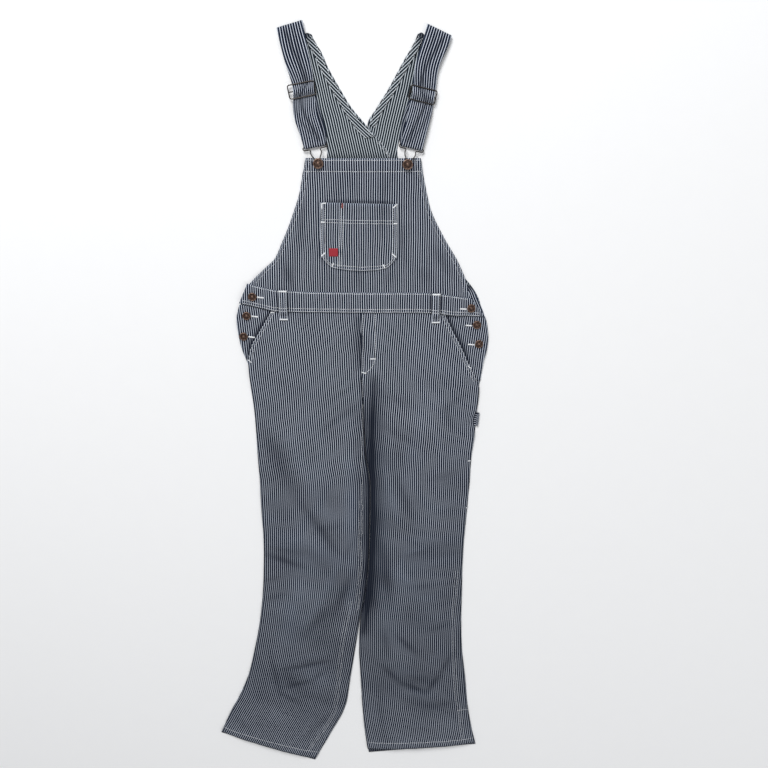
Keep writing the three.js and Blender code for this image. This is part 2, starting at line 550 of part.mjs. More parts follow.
// A place in a strap's own frame: across it, down it from the top fold, and up.
function onStrap(strap, across, down, z) {
  const [dx, dy] = strap.down;
  const slant = across * strap.skew * Math.max(0, 1 - down / SLIDER_DOWN);
  const along = down - slant;
  return [strap.topX - across * dy + along * dx, strap.topY + across * dx + along * dy, z];
}
const LOW_PLY = CLOTH + GAP + STRAP_CLOTH / 2; // the ply that lies on the back
const TURN = WIRE + GAP + STRAP_CLOTH / 2; // bend of the strap round a wire
const HOOK_BAR_Z = LOW_PLY + TURN;
const TOP_FOLD = 1.9;
const SLIDER_Z = LOW_PLY + STRAP_CLOTH + GAP + TURN;
function strapGeometry(strap) {
  const [end, mid, half] = [strap.length, SLIDER_DOWN, SLIDER_HEIGHT / 2];
  const frontPly = LOW_PLY + 2 * TOP_FOLD;
  const foldAt = TOP_FOLD + STRAP_CLOTH / 2;
  const hookPly = LOW_PLY + 2 * TURN;
  // Half a turn in six steps: out along the strap by side, and up or down round a centre height.
  const turn = (at, from, to, side, radius, centre) =>
    Array.from({ length: 7 }, (_, k) => {
      const angle = Math.PI * (from + ((to - from) * k) / 6);
      return { along: at + side * radius * Math.sin(angle), z: centre - radius * Math.cos(angle) };
    });
  const path = [
    { along: STRAP_TAIL, z: LOW_PLY },
    { along: 24, z: LOW_PLY },
    { along: 12, z: LOW_PLY },
    ...turn(foldAt, 0, 1, -1, TOP_FOLD, LOW_PLY + TOP_FOLD),
    { along: 14, z: frontPly },
    { along: mid * 0.45, z: frontPly + 0.4 },
    { along: mid - half - 16, z: frontPly - 0.4 },
    { along: mid - half - 4, z: SLIDER_Z - TURN },
    { along: mid - half + 1, z: SLIDER_Z - TURN },
    { along: mid - 3, z: SLIDER_Z + TURN - 0.4 },
    { along: mid, z: SLIDER_Z + TURN },
    { along: mid + 3, z: SLIDER_Z + TURN - 0.4 },
    { along: mid + half - 1, z: SLIDER_Z - TURN },
    { along: mid + half + 4, z: SLIDER_Z - TURN },
    { along: mid + half + 20, z: hookPly - 0.4 },
    { along: end - 24, z: hookPly + 0.6 },
    { along: end - 8, z: hookPly },
    ...turn(end, 1, 0, 1, TURN, HOOK_BAR_Z),
    { along: end - 8, z: LOW_PLY },
    { along: end - 24, z: LOW_PLY },
    { along: mid + half + 12, z: LOW_PLY },
    { along: mid + half - 2, z: LOW_PLY },
    { along: mid + 2, z: LOW_PLY + 1 },
    { along: mid - 3, z: LOW_PLY + 1.2 },
  ];
  const widthAt = (down) =>
    STRAP_TOP_WIDTH + (STRAP_END_WIDTH - STRAP_TOP_WIDTH) * Math.min(1, Math.max(0, down / end));
  return ribbon(path, STRAP_CLOTH, widthAt, (across, down, z) => onStrap(strap, across, down, z));
}

// A round wire through points, open between its first and its last.
function wire(points, steps) {
  const section = new THREE.Shape();
  section.absarc(0, 0, WIRE, 0, 2 * Math.PI);
  const extrudePath = new THREE.CatmullRomCurve3(
    points.map((xyz) => new THREE.Vector3(...xyz)),
    false,
    "centripetal",
  );
  return new THREE.ExtrudeGeometry(section, { extrudePath, steps, curveSegments: 3 });
}
function solid(geometry) {
  geometry.deleteAttribute("normal");
  geometry.deleteAttribute("uv");
  const { attributes, index } = mergeVertices(geometry, 1e-4);
  const vertProperties = new Float32Array(attributes.position.array);
  const triVerts = new Uint32Array(index.array);
  return new wasm.Manifold(new wasm.Mesh({ numProp: 3, vertProperties, triVerts }));
}
function geometryOf(manifold) {
  const mesh = manifold.getMesh();
  const geometry = new THREE.BufferGeometry();
  geometry.setAttribute("position", new THREE.BufferAttribute(mesh.vertProperties, 3));
  geometry.setIndex(new THREE.BufferAttribute(mesh.triVerts, 1));
  geometry.computeVertexNormals();
  return geometry;
}

// The slider: a rounded wire frame with a middle bar. The strap goes under the frame, over the bar,
// and the frame's wire ends meet at the bar.
const SLIDER_CORNER = 3;
function sliderGeometry(strap) {
  const [w, h, r] = [SLIDER_WIDTH / 2, SLIDER_HEIGHT / 2, SLIDER_CORNER];
  const corner = (sx, sy) => [
    [sx * w, sy * (h - r)],
    [sx * (w - r * 0.3), sy * (h - r * 0.3)],
    [sx * (w - r), sy * h],
  ];
  const outline = [
    [w, GAP / 2],
    ...corner(1, 1),
    ...corner(-1, 1).reverse(),
    ...corner(-1, -1),
    ...corner(1, -1).reverse(),
    [w, -GAP / 2],
  ];
  const square = { ...strap, skew: 0 };
  const place = ([x, down]) => onStrap(square, x, SLIDER_DOWN + down, SLIDER_Z);
  const frame = wire(outline.map(place), 44);
  const bar = new THREE.CylinderGeometry(WIRE, WIRE, SLIDER_WIDTH + WIRE, 8, 1);
  bar.rotateZ(Math.PI / 2 + Math.atan2(strap.down[0], -strap.down[1]));
  bar.translate(...place([0, 0]));
  return geometryOf(solid(frame).add(solid(bar)));
}

// The hook: a wire whose ends meet in the strap's fold. It comes out at both sides, turns back along
// the fold, rounds the eye and narrows to a slot that holds the button's shank. Half of it, as
// places across the strap and down from its fold's wire bar:
const hookHalf = [
  { x: 0.25, down: 0 },
  { x: 10, down: 0 },
  { x: 17.6, down: 0 },
  { x: 18.9, down: 0.3 },
  { x: 19.7, down: 1.7 },
  { x: 19.3, down: 3.4 },
  { x: 17.6, down: 4.5 },
  { x: 12.5, down: 4.7 },
  { x: 9, down: 5.3 },
  { x: 8, down: 6.6 },
  { x: HOOK_EYE / 2 - WIRE, down: 10 },
  { x: 7.6, down: 14.2 },
  { x: 5.2, down: 18.4 },
  { x: 3.9, down: 22.5 },
  { x: 3.4, down: HOOK_REACH },
  { x: 2.6, down: HOOK_REACH + 2.6 },
];
const HOOK_RISES = 14; // where the wire has come up to the button's shank
function hookGeometry(strap, loopZ) {
  const side = (sign) => hookHalf.map(({ x, down }) => [sign * x, down]);
  const outline = [...side(1), [0, HOOK_REACH + 3.7], ...side(-1).reverse()];
  const square = { ...strap, skew: 0 };
  const place = ([x, down]) => {
    const up = Math.min(1, Math.max(0, (down - 3) / (HOOK_RISES - 3)));
    return onStrap(square, x, strap.length + down, HOOK_BAR_Z + (loopZ - HOOK_BAR_Z) * up);
  };
  return wire(outline.map(place), 60);
}

// A tack button: a shank and a domed head with a raised rim and a centre stud.
function buttonGeometry(radius, shank, segments) {
  const profile = [
    [0, 0],
    [1.9, 0],
    [1.9, shank],
    [radius * 0.92, shank + 0.2],
    [radius, shank + 1],
    [radius * 0.9, shank + 1.9],
    [radius * 0.62, shank + 1.5],
    [radius * 0.36, shank + 1.7],
    [radius * 0.2, shank + 2.3],
    [0, shank + 2.4],
  ].map(([x, y]) => new THREE.Vector2(x, y));
  return new THREE.LatheGeometry(profile, segments).rotateX(Math.PI / 2);
}

const garment = new THREE.Group();
function add(name, geometry, material, place = [0, 0, 0]) {
  const mesh = new THREE.Mesh(geometry, material);
  mesh.name = name;
  mesh.position.set(...place);
  garment.add(mesh);
}

add("leg_back_right", rightBack.geometry(), cloth("denim"));
add("leg_back_left", leftBack.geometry(), cloth("denim"));
add("back_upper_right", backRightUpper.geometry(), cloth("denim_inside"));
add("back_upper_left", backLeftUpper.geometry(), cloth("denim_inside"));
add("neck_facing_right", patch(backRightUpper, neckRight, facing), cloth("denim_inside"));
add("neck_facing_left", patch(backLeftUpper, neckLeft, facing), cloth("denim_inside"));
add("button_stand_right", standPanel(rightStandEdge, -1).geometry(), cloth("denim"));
add("button_stand_left", standPanel(leftStandEdge, 1).geometry(), cloth("denim"));
add("hip_facing_right", rightHip.geometry(), cloth("denim"));
add("hip_facing_left", leftHip.geometry(), cloth("denim"));
add("leg_front_right", rightFront.geometry(), cloth("denim"));
add("leg_front_left", leftFront.geometry(), cloth("denim"));
const bandHost = { topAt: (x) => underBand(x) };
const band = patch(bandHost, waistSections, { columns: 3, step: 18, thickness: () => HEM });
add("waistband_front", band, cloth("denim"));
add("bib_front", bib.geometry(), cloth("denim"));

const pocketWall = (x, y) => (y > POCKET_HEM_Y ? HEM : CLOTH);
const pocket = patch(bib, pocketSections, {
  columns: 9,
  step: 16,
  thickness: pocketWall,
  bend: pocketBend,
});
add("bib_pocket", pocket, cloth("denim"));
const pocketTop = { topAt: (x, y) => bib.topAt(x, y) + GAP + pocketWall(x, y) };
const labelRows = [113, 99.5].map((y) => ({ aX: -57, aY: y, bX: -42, bY: y }));
add(
  "pocket_label",
  patch(pocketTop, labelRows, { columns: 3, step: 8, thickness: () => 0.8 }),
  new THREE.MeshStandardMaterial({ name: "label_red", color: 0x8e1f28, roughness: 0.8 }),
);

add("belt_loop_right", beltLoop(-136), cloth("denim"));
add("belt_loop_left", beltLoop(122), cloth("denim"));

// The hammer loop is a folded strip that comes out of the left outer seam.
const hammerPath = [
  { along: 0, z: 2.1 },
  { along: 10, z: 2.1 },
  { along: 20, z: 2.1 },
  { along: 21.4, z: 2.6 },
  { along: 21.8, z: 3.3 },
  { along: 21.4, z: 4 },
  { along: 20, z: 4.5 },
  { along: 16.5, z: 4.5 },
];
const HAMMER = { x: 185, y: -194, width: 24, slope: 0.07 };
add(
  "hammer_loop",
  ribbon(
    hammerPath,
    1,
    () => HAMMER.width,
    (across, along, z) => [HAMMER.x + along, HAMMER.y + across + along * HAMMER.slope, z],
  ),
  cloth("denim"),
);

for (const [side, strap] of Object.entries(straps)) {
  const seat = Math.max(...[-9, 0, 9].map((aside) => bib.topAt(strap.buttonX + aside, strap.buttonY)));
  const loopZ = seat + GAP + WIRE;
  add("strap_" + side, strapGeometry(strap), cloth("denim"));
  add("slider_" + side, sliderGeometry(strap), darkMetal());
  add("hook_" + side, hookGeometry(strap, loopZ), darkMetal());
  const shank = 2 * WIRE + 2 * GAP;
  const place = [strap.buttonX, strap.buttonY, seat + GAP];
  add("bib_button_" + side, buttonGeometry(BIB_BUTTON, shank, 16), copperMetal(), place);
}

const sideButtons = {
  right: [
    { x: -187.5, y: 30.5 },
    { x: -199.4, y: -3.5 },
    { x: -206.3, y: -39.9 },
  ],
  left: [
    { x: 181.5, y: 10.5 },
    { x: 192.2, y: -19.4 },
    { x: 197, y: -53.3 },
  ],
};
for (const [side, places] of Object.entries(sideButtons))
  places.forEach(({ x, y }, k) => {
    const hip = side === "right" ? rightHip : leftHip;
    const onBand = Math.max(bandHeight(x - SIDE_BUTTON), bandHeight(x + SIDE_BUTTON));
    const seat = k === 0 ? onBand : hip.topAt(x, y);
    const button = buttonGeometry(SIDE_BUTTON, 0.9, 12);
    add(`side_button_${side}_${k + 1}`, button, copperMetal(), [x, y, seat + GAP]);
  });

const box = new THREE.Box3().setFromObject(garment, true);
const middle = box.getCenter(new THREE.Vector3());
garment.position.set(-middle.x, -middle.y, -box.min.z);

export default garment;
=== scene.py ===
"""Striped bib dungarees laid on their back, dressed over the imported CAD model.

Tables and sizes are millimetres in garment coordinates: X is 0 on the centre front, Y is 0 at the
waist seam and grows towards the straps, and Z is up from the floor. Left and right are the wearer's.
"""

import logging
import math
from dataclasses import dataclass, field
from enum import Enum
from typing import Callable, NamedTuple, Optional, Sequence, Union

import bmesh
import bpy
import numpy as np
from mathutils import Matrix, Vector
from mathutils.bvhtree import BVHTree


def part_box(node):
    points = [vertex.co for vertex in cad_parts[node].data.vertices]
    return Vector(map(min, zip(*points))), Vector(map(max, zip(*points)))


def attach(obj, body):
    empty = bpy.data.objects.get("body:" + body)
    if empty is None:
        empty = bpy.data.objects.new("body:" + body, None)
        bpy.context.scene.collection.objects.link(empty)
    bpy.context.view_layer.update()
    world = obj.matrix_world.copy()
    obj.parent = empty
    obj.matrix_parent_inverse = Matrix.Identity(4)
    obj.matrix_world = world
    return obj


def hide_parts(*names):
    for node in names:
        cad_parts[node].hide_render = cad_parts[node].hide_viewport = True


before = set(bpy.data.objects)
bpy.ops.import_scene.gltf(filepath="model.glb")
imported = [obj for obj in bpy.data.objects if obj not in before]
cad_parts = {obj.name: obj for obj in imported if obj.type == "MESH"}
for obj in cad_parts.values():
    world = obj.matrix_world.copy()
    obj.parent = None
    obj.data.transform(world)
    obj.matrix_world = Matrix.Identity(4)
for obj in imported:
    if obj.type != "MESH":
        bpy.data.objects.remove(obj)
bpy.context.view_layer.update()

log = logging.getLogger("dungarees")
Array = np.ndarray
Point = tuple[float, float, float]

CLOTH = 1.2  # wall of one panel
HEM = 2.2  # wall where a hem is turned and stitched
GAP = 0.3  # between pieces that lie on each other in the CAD
EDGE_ROUND = 3  # how square a panel's cross section is
STRAP_CLOTH = 1.5
WIRE = 1.0  # radius of the buckle wire
HIP_FACE = 3 + CLOTH  # outer face of the fronts at the hips
SEAM = 10.0  # what a maker adds outside each seam
MM = 0.001


def origin() -> Vector:
    """Finds where the garment's own zero lies on the frame's floor, in metres, from the right bib button."""
    low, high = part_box("bib_button_right")
    return Vector(((low.x + high.x) / 2 + 71.3 * MM, (low.y + high.y) / 2 - 249.5 * MM, 0.0))


ORIGIN = origin()
TO_FRAME = Matrix.Translation(ORIGIN) @ Matrix.Scale(MM, 4)


def to_frame(x: float, y: float, z: float) -> Vector:
    """Turns a place on the garment, in millimetres, into one in the frame, in metres."""
    return ORIGIN + Vector((x, y, z)) * MM


# ---------------------------------------------------------------- shader arithmetic

Value = Union["Number", float]


class Number:
    """A number in a material's nodes, so that a pattern is written as arithmetic."""

    def __init__(self, kit: "Kit", socket: bpy.types.NodeSocket) -> None:
        """Keeps the node kit and the socket that gives the number."""
        self.kit = kit
        self.socket = socket

    def math(self, operation: str, *others: Value) -> "Number":
        """Joins this number and others in a Math node."""
        return self.kit.math(operation, self, *others)

    def __add__(self, other: Value) -> "Number":
        """The sum."""
        return self.math("ADD", other)

    def __sub__(self, other: Value) -> "Number":
        """The difference."""
        return self.math("SUBTRACT", other)

    def __rsub__(self, other: float) -> "Number":
        """The difference, this number taken away."""
        return self.kit.math("SUBTRACT", other, self)

    def __mul__(self, other: Value) -> "Number":
        """The product."""
        return self.math("MULTIPLY", other)

    def __truediv__(self, other: Value) -> "Number":
        """The quotient."""
        return self.math("DIVIDE", other)

    __radd__ = __add__
    __rmul__ = __mul__

    def ramp(self, low: float, high: float) -> "Number":
        """Rises smoothly from 0 where this number is low to 1 where it is high, or falls if low is more.

        Args:
            low: Where the result is 0.
            high: Where the result is 1.

        Returns:
            The eased result.
        """
        if low > high:
            return 1.0 - self.ramp(high, low)
        feed = {"Value": self, "From Min": low, "From Max": high}
        node = self.kit.node("ShaderNodeMapRange", feed, interpolation_type="SMOOTHSTEP")
        return Number(self.kit, node.outputs["Result"])


class Kit:
    """One material's nodes."""

    def __init__(self, name: str) -> None:
        """Starts a material that has one Principled shader.

        Args:
            name: The material's name.
        """
        self.material = bpy.data.materials.new(name)
        self.material.use_nodes = True
        self.tree = self.material.node_tree
        self.shader = next(n for n in self.tree.nodes if n.type == "BSDF_PRINCIPLED")

    def feed(self, node: bpy.types.Node, values: dict) -> None:
        """Feeds a node's sockets.

        Args:
            node: The node.
            values: A number, a socket, a colour or a constant for each socket, by its name or place.
        """
        for key, value in values.items():
            if isinstance(value, Number):
                value = value.socket
            if isinstance(value, bpy.types.NodeSocket):
                self.tree.links.new(value, node.inputs[key])
            else:
                node.inputs[key].default_value = (*value, 1.0) if isinstance(value, tuple) else value

    def node(self, kind: str, values: Optional[dict] = None, **settings: object) -> bpy.types.Node:
        """Adds a node.

        Args:
            kind: The node's type.
            values: What is fed to it.
            settings: Its own settings, by name.

        Returns:
            The node.
        """
        node = self.tree.nodes.new(kind)
        for name, value in settings.items():
            setattr(node, name, value)
        self.feed(node, values or {})
        return node

    def math(self, operation: str, *values: Value) -> Number:
        """Adds a Math node."""
        return Number(self, self.node("ShaderNodeMath", dict(enumerate(values)), operation=operation).outputs[0])

    def cut(self) -> tuple[Number, Number]:
        """Places across and along the grain of the cloth as it was cut, in millimetres."""
        split = self.node("ShaderNodeSeparateXYZ", {0: self.node("ShaderNodeUVMap", uv_map="cut").outputs[0]})
        return Number(self, split.outputs[0]), Number(self, split.outputs[1])

    def attribute(self, name: str) -> Number:
        """Reads one of the piece's own attributes, as a number."""
        return Number(self, self.node("ShaderNodeAttribute", attribute_name=name).outputs["Fac"])

    def noise(self, scale: float, detail: float = 2, where: Optional[object] = None) -> Number:
        """Adds soft noise from 0 to 1.

        Args:
            scale: How many blotches a metre, or a unit of where.
            detail: How many finer layers it has.
            where: The place it is read at, if not the place on the object.

        Returns:
            The noise.
        """
        if where is None:
            where = self.node("ShaderNodeTexCoord").outputs["Object"]
        node = self.node("ShaderNodeTexNoise", {"Scale": scale, "Detail": detail, "Vector": where})
        return Number(self, node.outputs[0])

    def vector(self, x: Value, y: Value) -> bpy.types.NodeSocket:
        """Joins two numbers into a place on a plane."""
        return self.node("ShaderNodeCombineXYZ", {0: x, 1: y}).outputs[0]

    def mix(self, share: Value, low: object, high: object) -> bpy.types.NodeSocket:
        """Mixes two colours, each a colour or a socket: a share of 0 gives low and 1 gives high."""
        return self.node("ShaderNodeMix", {"Factor": share, 6: low, 7: high}, data_type="RGBA").outputs[2]

    def relief(self, height: Number, depth: float) -> None:
        """Gives the surface a bump, so many millimetres high where the height is 1."""
        bump = self.node("ShaderNodeBump", {"Distance": depth * MM, "Height": height})
        self.feed(self.shader, {"Normal": bump.outputs[0]})

    def finish(self, colour: object, roughness: object, **constants: float) -> bpy.types.Material:
        """Sets the shader.

        Args:
            colour: The base colour.
            roughness: The roughness.
            constants: Other inputs, named as the shader names them with _ for a space.

        Returns:
            The material.
        """
        self.feed(self.shader, {"Base Color": colour, "Roughness": roughness})
        self.feed(self.shader, {name.replace("_", " "): value for name, value in constants.items()})
        return self.material


# ---------------------------------------------------------------- finishes


@dataclass(frozen=True)
class Striped:
    """Hickory stripe: white warp bands on indigo, in a twill."""

    name: str
    dark: Point = (0.0018, 0.0042, 0.0150)
    light: Point = (0.84, 0.90, 1.0)
    pitch: float = 3.79  # from stripe to stripe
    white: float = 0.19  # share of it that is white
    wander: float = 2.2  # how far a stripe strays over a hand's breadth
    shake: float = 0.4  # and over a finger's breadth
    fade: float = 0.05  # how much of the indigo has washed out

    def make(self) -> bpy.types.Material:
        """Makes the cloth's material.

        Returns:
            The material.
        """
        kit = Kit(self.name)
        across, along = kit.cut()
        strays = (kit.noise(13, 1) - 0.5) * (2 * self.wander) + (kit.noise(42, 1) - 0.5) * (2 * self.shake)
        place = (across + strays) / self.pitch
        middle = (place.math("FRACT") - 0.5).math("ABSOLUTE") * 2.0
        ragged = (kit.noise(1.1, 2, kit.vector(across, along)) - 0.5) * 0.22
        stripe = (middle + ragged).ramp(self.white + 0.10, self.white - 0.10)
        # Twill: fine slanted ribs, in which the other colour's weft shows as specks.
        rib = ((across * 1.15 + along * 1.15).math("FRACT") - 0.5).math("ABSOLUTE") * 2.0
        thread = kit.noise(3.2, 1, kit.vector(across * 1.6, along * 0.5))
        specks = (rib * 0.5 + thread * 0.5).ramp(0.28, 0.62)
        wear_and_highlight = kit.attribute("wear_and_highlight")
        painted_shade = kit.attribute("painted_shade")
        washed = kit.noise(7, 3)
        # Paler where rubbed, and a painted highlight along the leg fronts' fold ridges.
        blue = kit.mix(wear_and_highlight * 0.35 + washed * self.fade, self.dark, (0.10, 0.135, 0.20))
        blue = kit.mix(specks * 0.02, blue, (0.16, 0.20, 0.28))
        cream = kit.mix(specks * 0.35, self.light, (0.40, 0.45, 0.55))
        cream = kit.mix(washed * 0.25, cream, (0.50, 0.55, 0.65))
        colour = kit.mix(stripe, blue, cream)
        # Painted shade: the cloth darkens towards near-black where the piece's shade values are high.
        colour = kit.mix(painted_shade, colour, (0.007, 0.010, 0.019))
        kit.relief(rib * 0.6 + thread * 0.4, 0.10)
        return kit.finish(colour, 0.92, Sheen_Weight=0.03, Sheen_Roughness=0.5, Specular_IOR_Level=0.06)


@dataclass(frozen=True)
class Thread:
    """Twisted cotton sewing thread."""

    name: str
    colour: Point = (0.93, 0.94, 0.95)
    shade: Point = (0.62, 0.64, 0.67)

    def make(self) -> bpy.types.Material:
        """Makes the thread's material.

        Returns:
            The material.
        """
        kit = Kit(self.name)
        twist = kit.noise(900, 1)
        colour = kit.mix(twist.ramp(0.35, 0.65), self.shade, self.colour)
        kit.relief(twist, 0.1)
        return kit.finish(colour, 0.8, Sheen_Weight=0.2)


@dataclass(frozen=True)
class Metal:
    """Plated metal that has dulled and rubbed bright on its high places."""

    name: str
    plate: Point
    rubbed: Point
    rough: float = 0.42

    def make(self) -> bpy.types.Material:
        """Makes the metal's material.

        Returns:
            The material.
        """
        kit = Kit(self.name)
        dull = kit.noise(420, 3)
        rub = kit.attribute("wear_and_highlight")
        colour = kit.mix(dull.ramp(0.45, 0.75) * 0.4 + rub * 0.6, self.plate, self.rubbed)
        kit.relief(kit.noise(1500, 2), 0.05)
        return kit.finish(colour, dull * 0.25 + self.rough - 0.1, Metallic=0.85)


@dataclass(frozen=True)
class Woven:
    """A small woven label, plain."""

    name: str
    colour: Point = (0.37, 0.009, 0.024)
    shade: Point = (0.23, 0.006, 0.014)

    def make(self) -> bpy.types.Material:
        """Makes the label's material.

        Returns:
            The material.
        """
        kit = Kit(self.name)
        across, along = kit.cut()
        weave = ((across * 2.2).math("SINE") * (along * 2.2).math("SINE")).ramp(-0.6, 0.8)
        kit.relief(weave, 0.15)
        return kit.finish(kit.mix(weave, self.shade, self.colour), 0.75, Sheen_Weight=0.2)


@dataclass(frozen=True)
class Paper:
    """The pale floor."""

    name: str
    colour: Point = (0.88, 0.884, 0.89)

    def make(self) -> bpy.types.Material:
        """Makes the floor's material.

        Returns:
            The material.
        """
        kit = Kit(self.name)
        grain = kit.noise(30, 2)
        warm = tuple(c * 0.985 for c in self.colour)
        return kit.finish(kit.mix(grain, warm, self.colour), 0.9)


class Slot(Enum):
    """The record's material slots."""

    DENIM = "denim"
    INSIDE = "denim_inside"
    LABEL = "label_red"
    WIRE = "wire"
    BUTTON = "button"


class Finishes:
    """Every finish of the dungarees, made once."""

    def __init__(self) -> None:
        """Makes the materials."""
        self.denim = Striped("denim").make()
        self.inside = Striped(
            "denim_inside", dark=(0.007, 0.012, 0.016), light=(0.66, 0.72, 0.74), white=0.25, fade=0.07
        ).make()
        self.webbing = Striped("denim_strap", pitch=3.79, wander=0.5, shake=0.15).make()
        self.thread = Thread("thread_white").make()
        self.rust = Thread("thread_red", (0.25, 0.06, 0.06), (0.12, 0.03, 0.03)).make()
        self.label = Woven("label_red").make()
        self.wire = Metal("wire", (0.015, 0.0135, 0.013), (0.12, 0.105, 0.097), 0.38).make()
        self.copper = Metal("button", (0.045, 0.026, 0.020), (0.36, 0.235, 0.18), 0.42).make()
        self.floor = Paper("floor").make()


# ---------------------------------------------------------------- cloth forms


def near(distance: Array, reach: float) -> Array:
    """1 at no distance, falling softly to 0 past the reach."""
    return np.exp(-((distance / reach) ** 2))


def rise(value: Array, low: float, high: float) -> Array:
    """0 at low and 1 at high, straight between them and level past them; low may be the greater."""
    return np.clip((value - low) / (high - low), 0, 1)


class Fold(NamedTuple):
    """A soft ridge between two points, or a trough where its height is negative."""

    from_x: float
    from_y: float
    to_x: float
    to_y: float
    width: float
    height: float

    def at(self, x: Array, y: Array) -> Array:
        """How far it lifts the cloth, in millimetres.

        Args:
            x: Places across.
            y: Places up the garment.

        Returns:
            Heights.
        """
        dx, dy = self.to_x - self.from_x, self.to_y - self.from_y
        length = math.hypot(dx, dy)
        along = ((x - self.from_x) * dx + (y - self.from_y) * dy) / length**2
        aside = ((x - self.from_x) * dy - (y - self.from_y) * dx) / length
        inside = np.clip(along, 0, 1)
        past = (along - inside) * length
        return self.height * np.sin(math.pi * (0.1 + 0.8 * inside)) * near(np.hypot(aside, past), self.width)


class Row(NamedTuple):
    """One section of a panel: its two edge points, the height under each, and how much higher its middle lies."""

    a_x: float
    a_y: float
    b_x: float
    b_y: float
    a_z: float = 0
    b_z: float = 0
    crown: float = 0


def trail(x: Array, y: Array, line: Sequence[Point], spread: float = 1.0) -> Array:
    """How near places are to a line.

    Args:
        x: Places across.
        y: Places up the garment.
        line: Its points, each with how wide the line is felt there.
        spread: How many times wider it is felt.

    Returns:
        1 on the line, falling to 0.
    """
    found = np.zeros_like(x)
    for (x0, y0, w0), (x1, y1, w1) in zip(line, line[1:]):
        dx, dy = x1 - x0, y1 - y0
        t = np.clip(((x - x0) * dx + (y - y0) * dy) / (dx * dx + dy * dy), 0, 1)
        away = np.hypot(x - x0 - t * dx, y - y0 - t * dy)
        found = np.maximum(found, near(away / (w0 + (w1 - w0) * t), spread))
    return found


def relief_of(creases: Sequence[Fold], x: Array, y: Array, up: bool) -> Array:
    """How far ridges alone lift the cloth, or troughs alone lower it."""
    return sum((np.abs(c.at(x, y)) for c in creases if (c.height > 0) == up), np.zeros_like(x))


def uneven(x: Array, y: Array, size: float, turn: float = 0.0) -> Array:
    """Smooth unevenness from about -1 to 1, the same each time.

    Args:
        x: Places across.
        y: Places up the garment.
        size: Breadth of a swell.
        turn: Tells one pattern from another.

    Returns:
        One value a place.
    """
    total = 0.0
    for k, (angle, stretch) in enumerate(((0.4, 1.0), (1.5, 0.73), (2.6, 0.57), (3.7, 0.41))):
        c, s = math.cos(angle + turn), math.sin(angle + turn)
        total = total + np.sin(math.pi * (x * c + y * s) / (size * stretch) + 1.7 * k + 5 * turn)
    return total / 2.6


def turned(x: Array, y: Array, angle: float) -> tuple[Array, Array]:
    """Places on a grain that leans by an angle."""
    c, s = math.cos(angle), math.sin(angle)
    return x * c + y * s, y * c - x * s


def along_line(points: Array) -> Array:
    """How far along a line each of its points lies."""
    return np.concatenate([[0.0], np.cumsum(np.linalg.norm(np.diff(points, axis=0), axis=1))])


def smoothed(stations: Array, values: Array, run: Array) -> Array:
    """Reads a table smoothly between its rows.

    Args:
        stations: How far along each row lies.
        values: The rows.
        run: Where they are read.

    Returns:
        One row a place.
    """
    last = len(stations) - 1
    k = np.clip(np.searchsorted(stations, run, side="left") - 1, 0, last - 1)
    span = (stations[k + 1] - stations[k])[:, None]
    t = (run - stations[k])[:, None] / span

    def slope(i: Array) -> Array:
        """How fast the rows change at a station."""
        low, high = np.maximum(i - 1, 0), np.minimum(i + 1, last)
        return (values[high] - values[low]) / (stations[high] - stations[low])[:, None]

    return (
        values[k] * (2 * t**3 - 3 * t**2 + 1)
        + values[k + 1] * (3 * t**2 - 2 * t**3)
        + slope(k) * span * (t**3 - 2 * t**2 + t)
        + slope(k + 1) * span * (t**3 - t**2)
    )


def smooth_path(points: Sequence[Sequence[float]], step: float) -> Array:
    """A smooth line through points.

    Args:
        points: One a row.
        step: About how far apart the result's points are.

    Returns:
        The line's points.
    """
    points = np.asarray(points, float)
    stations = along_line(points)
    run = [[0.0]]
    for low, span in zip(stations, np.linalg.norm(np.diff(points, axis=0), axis=1)):
        parts = max(1, math.ceil(span / step))
        run.append(low + span * (np.arange(1, parts + 1) / parts))
    return smoothed(stations, points, np.concatenate(run))


Heights = Callable[[Array, Array], Array]


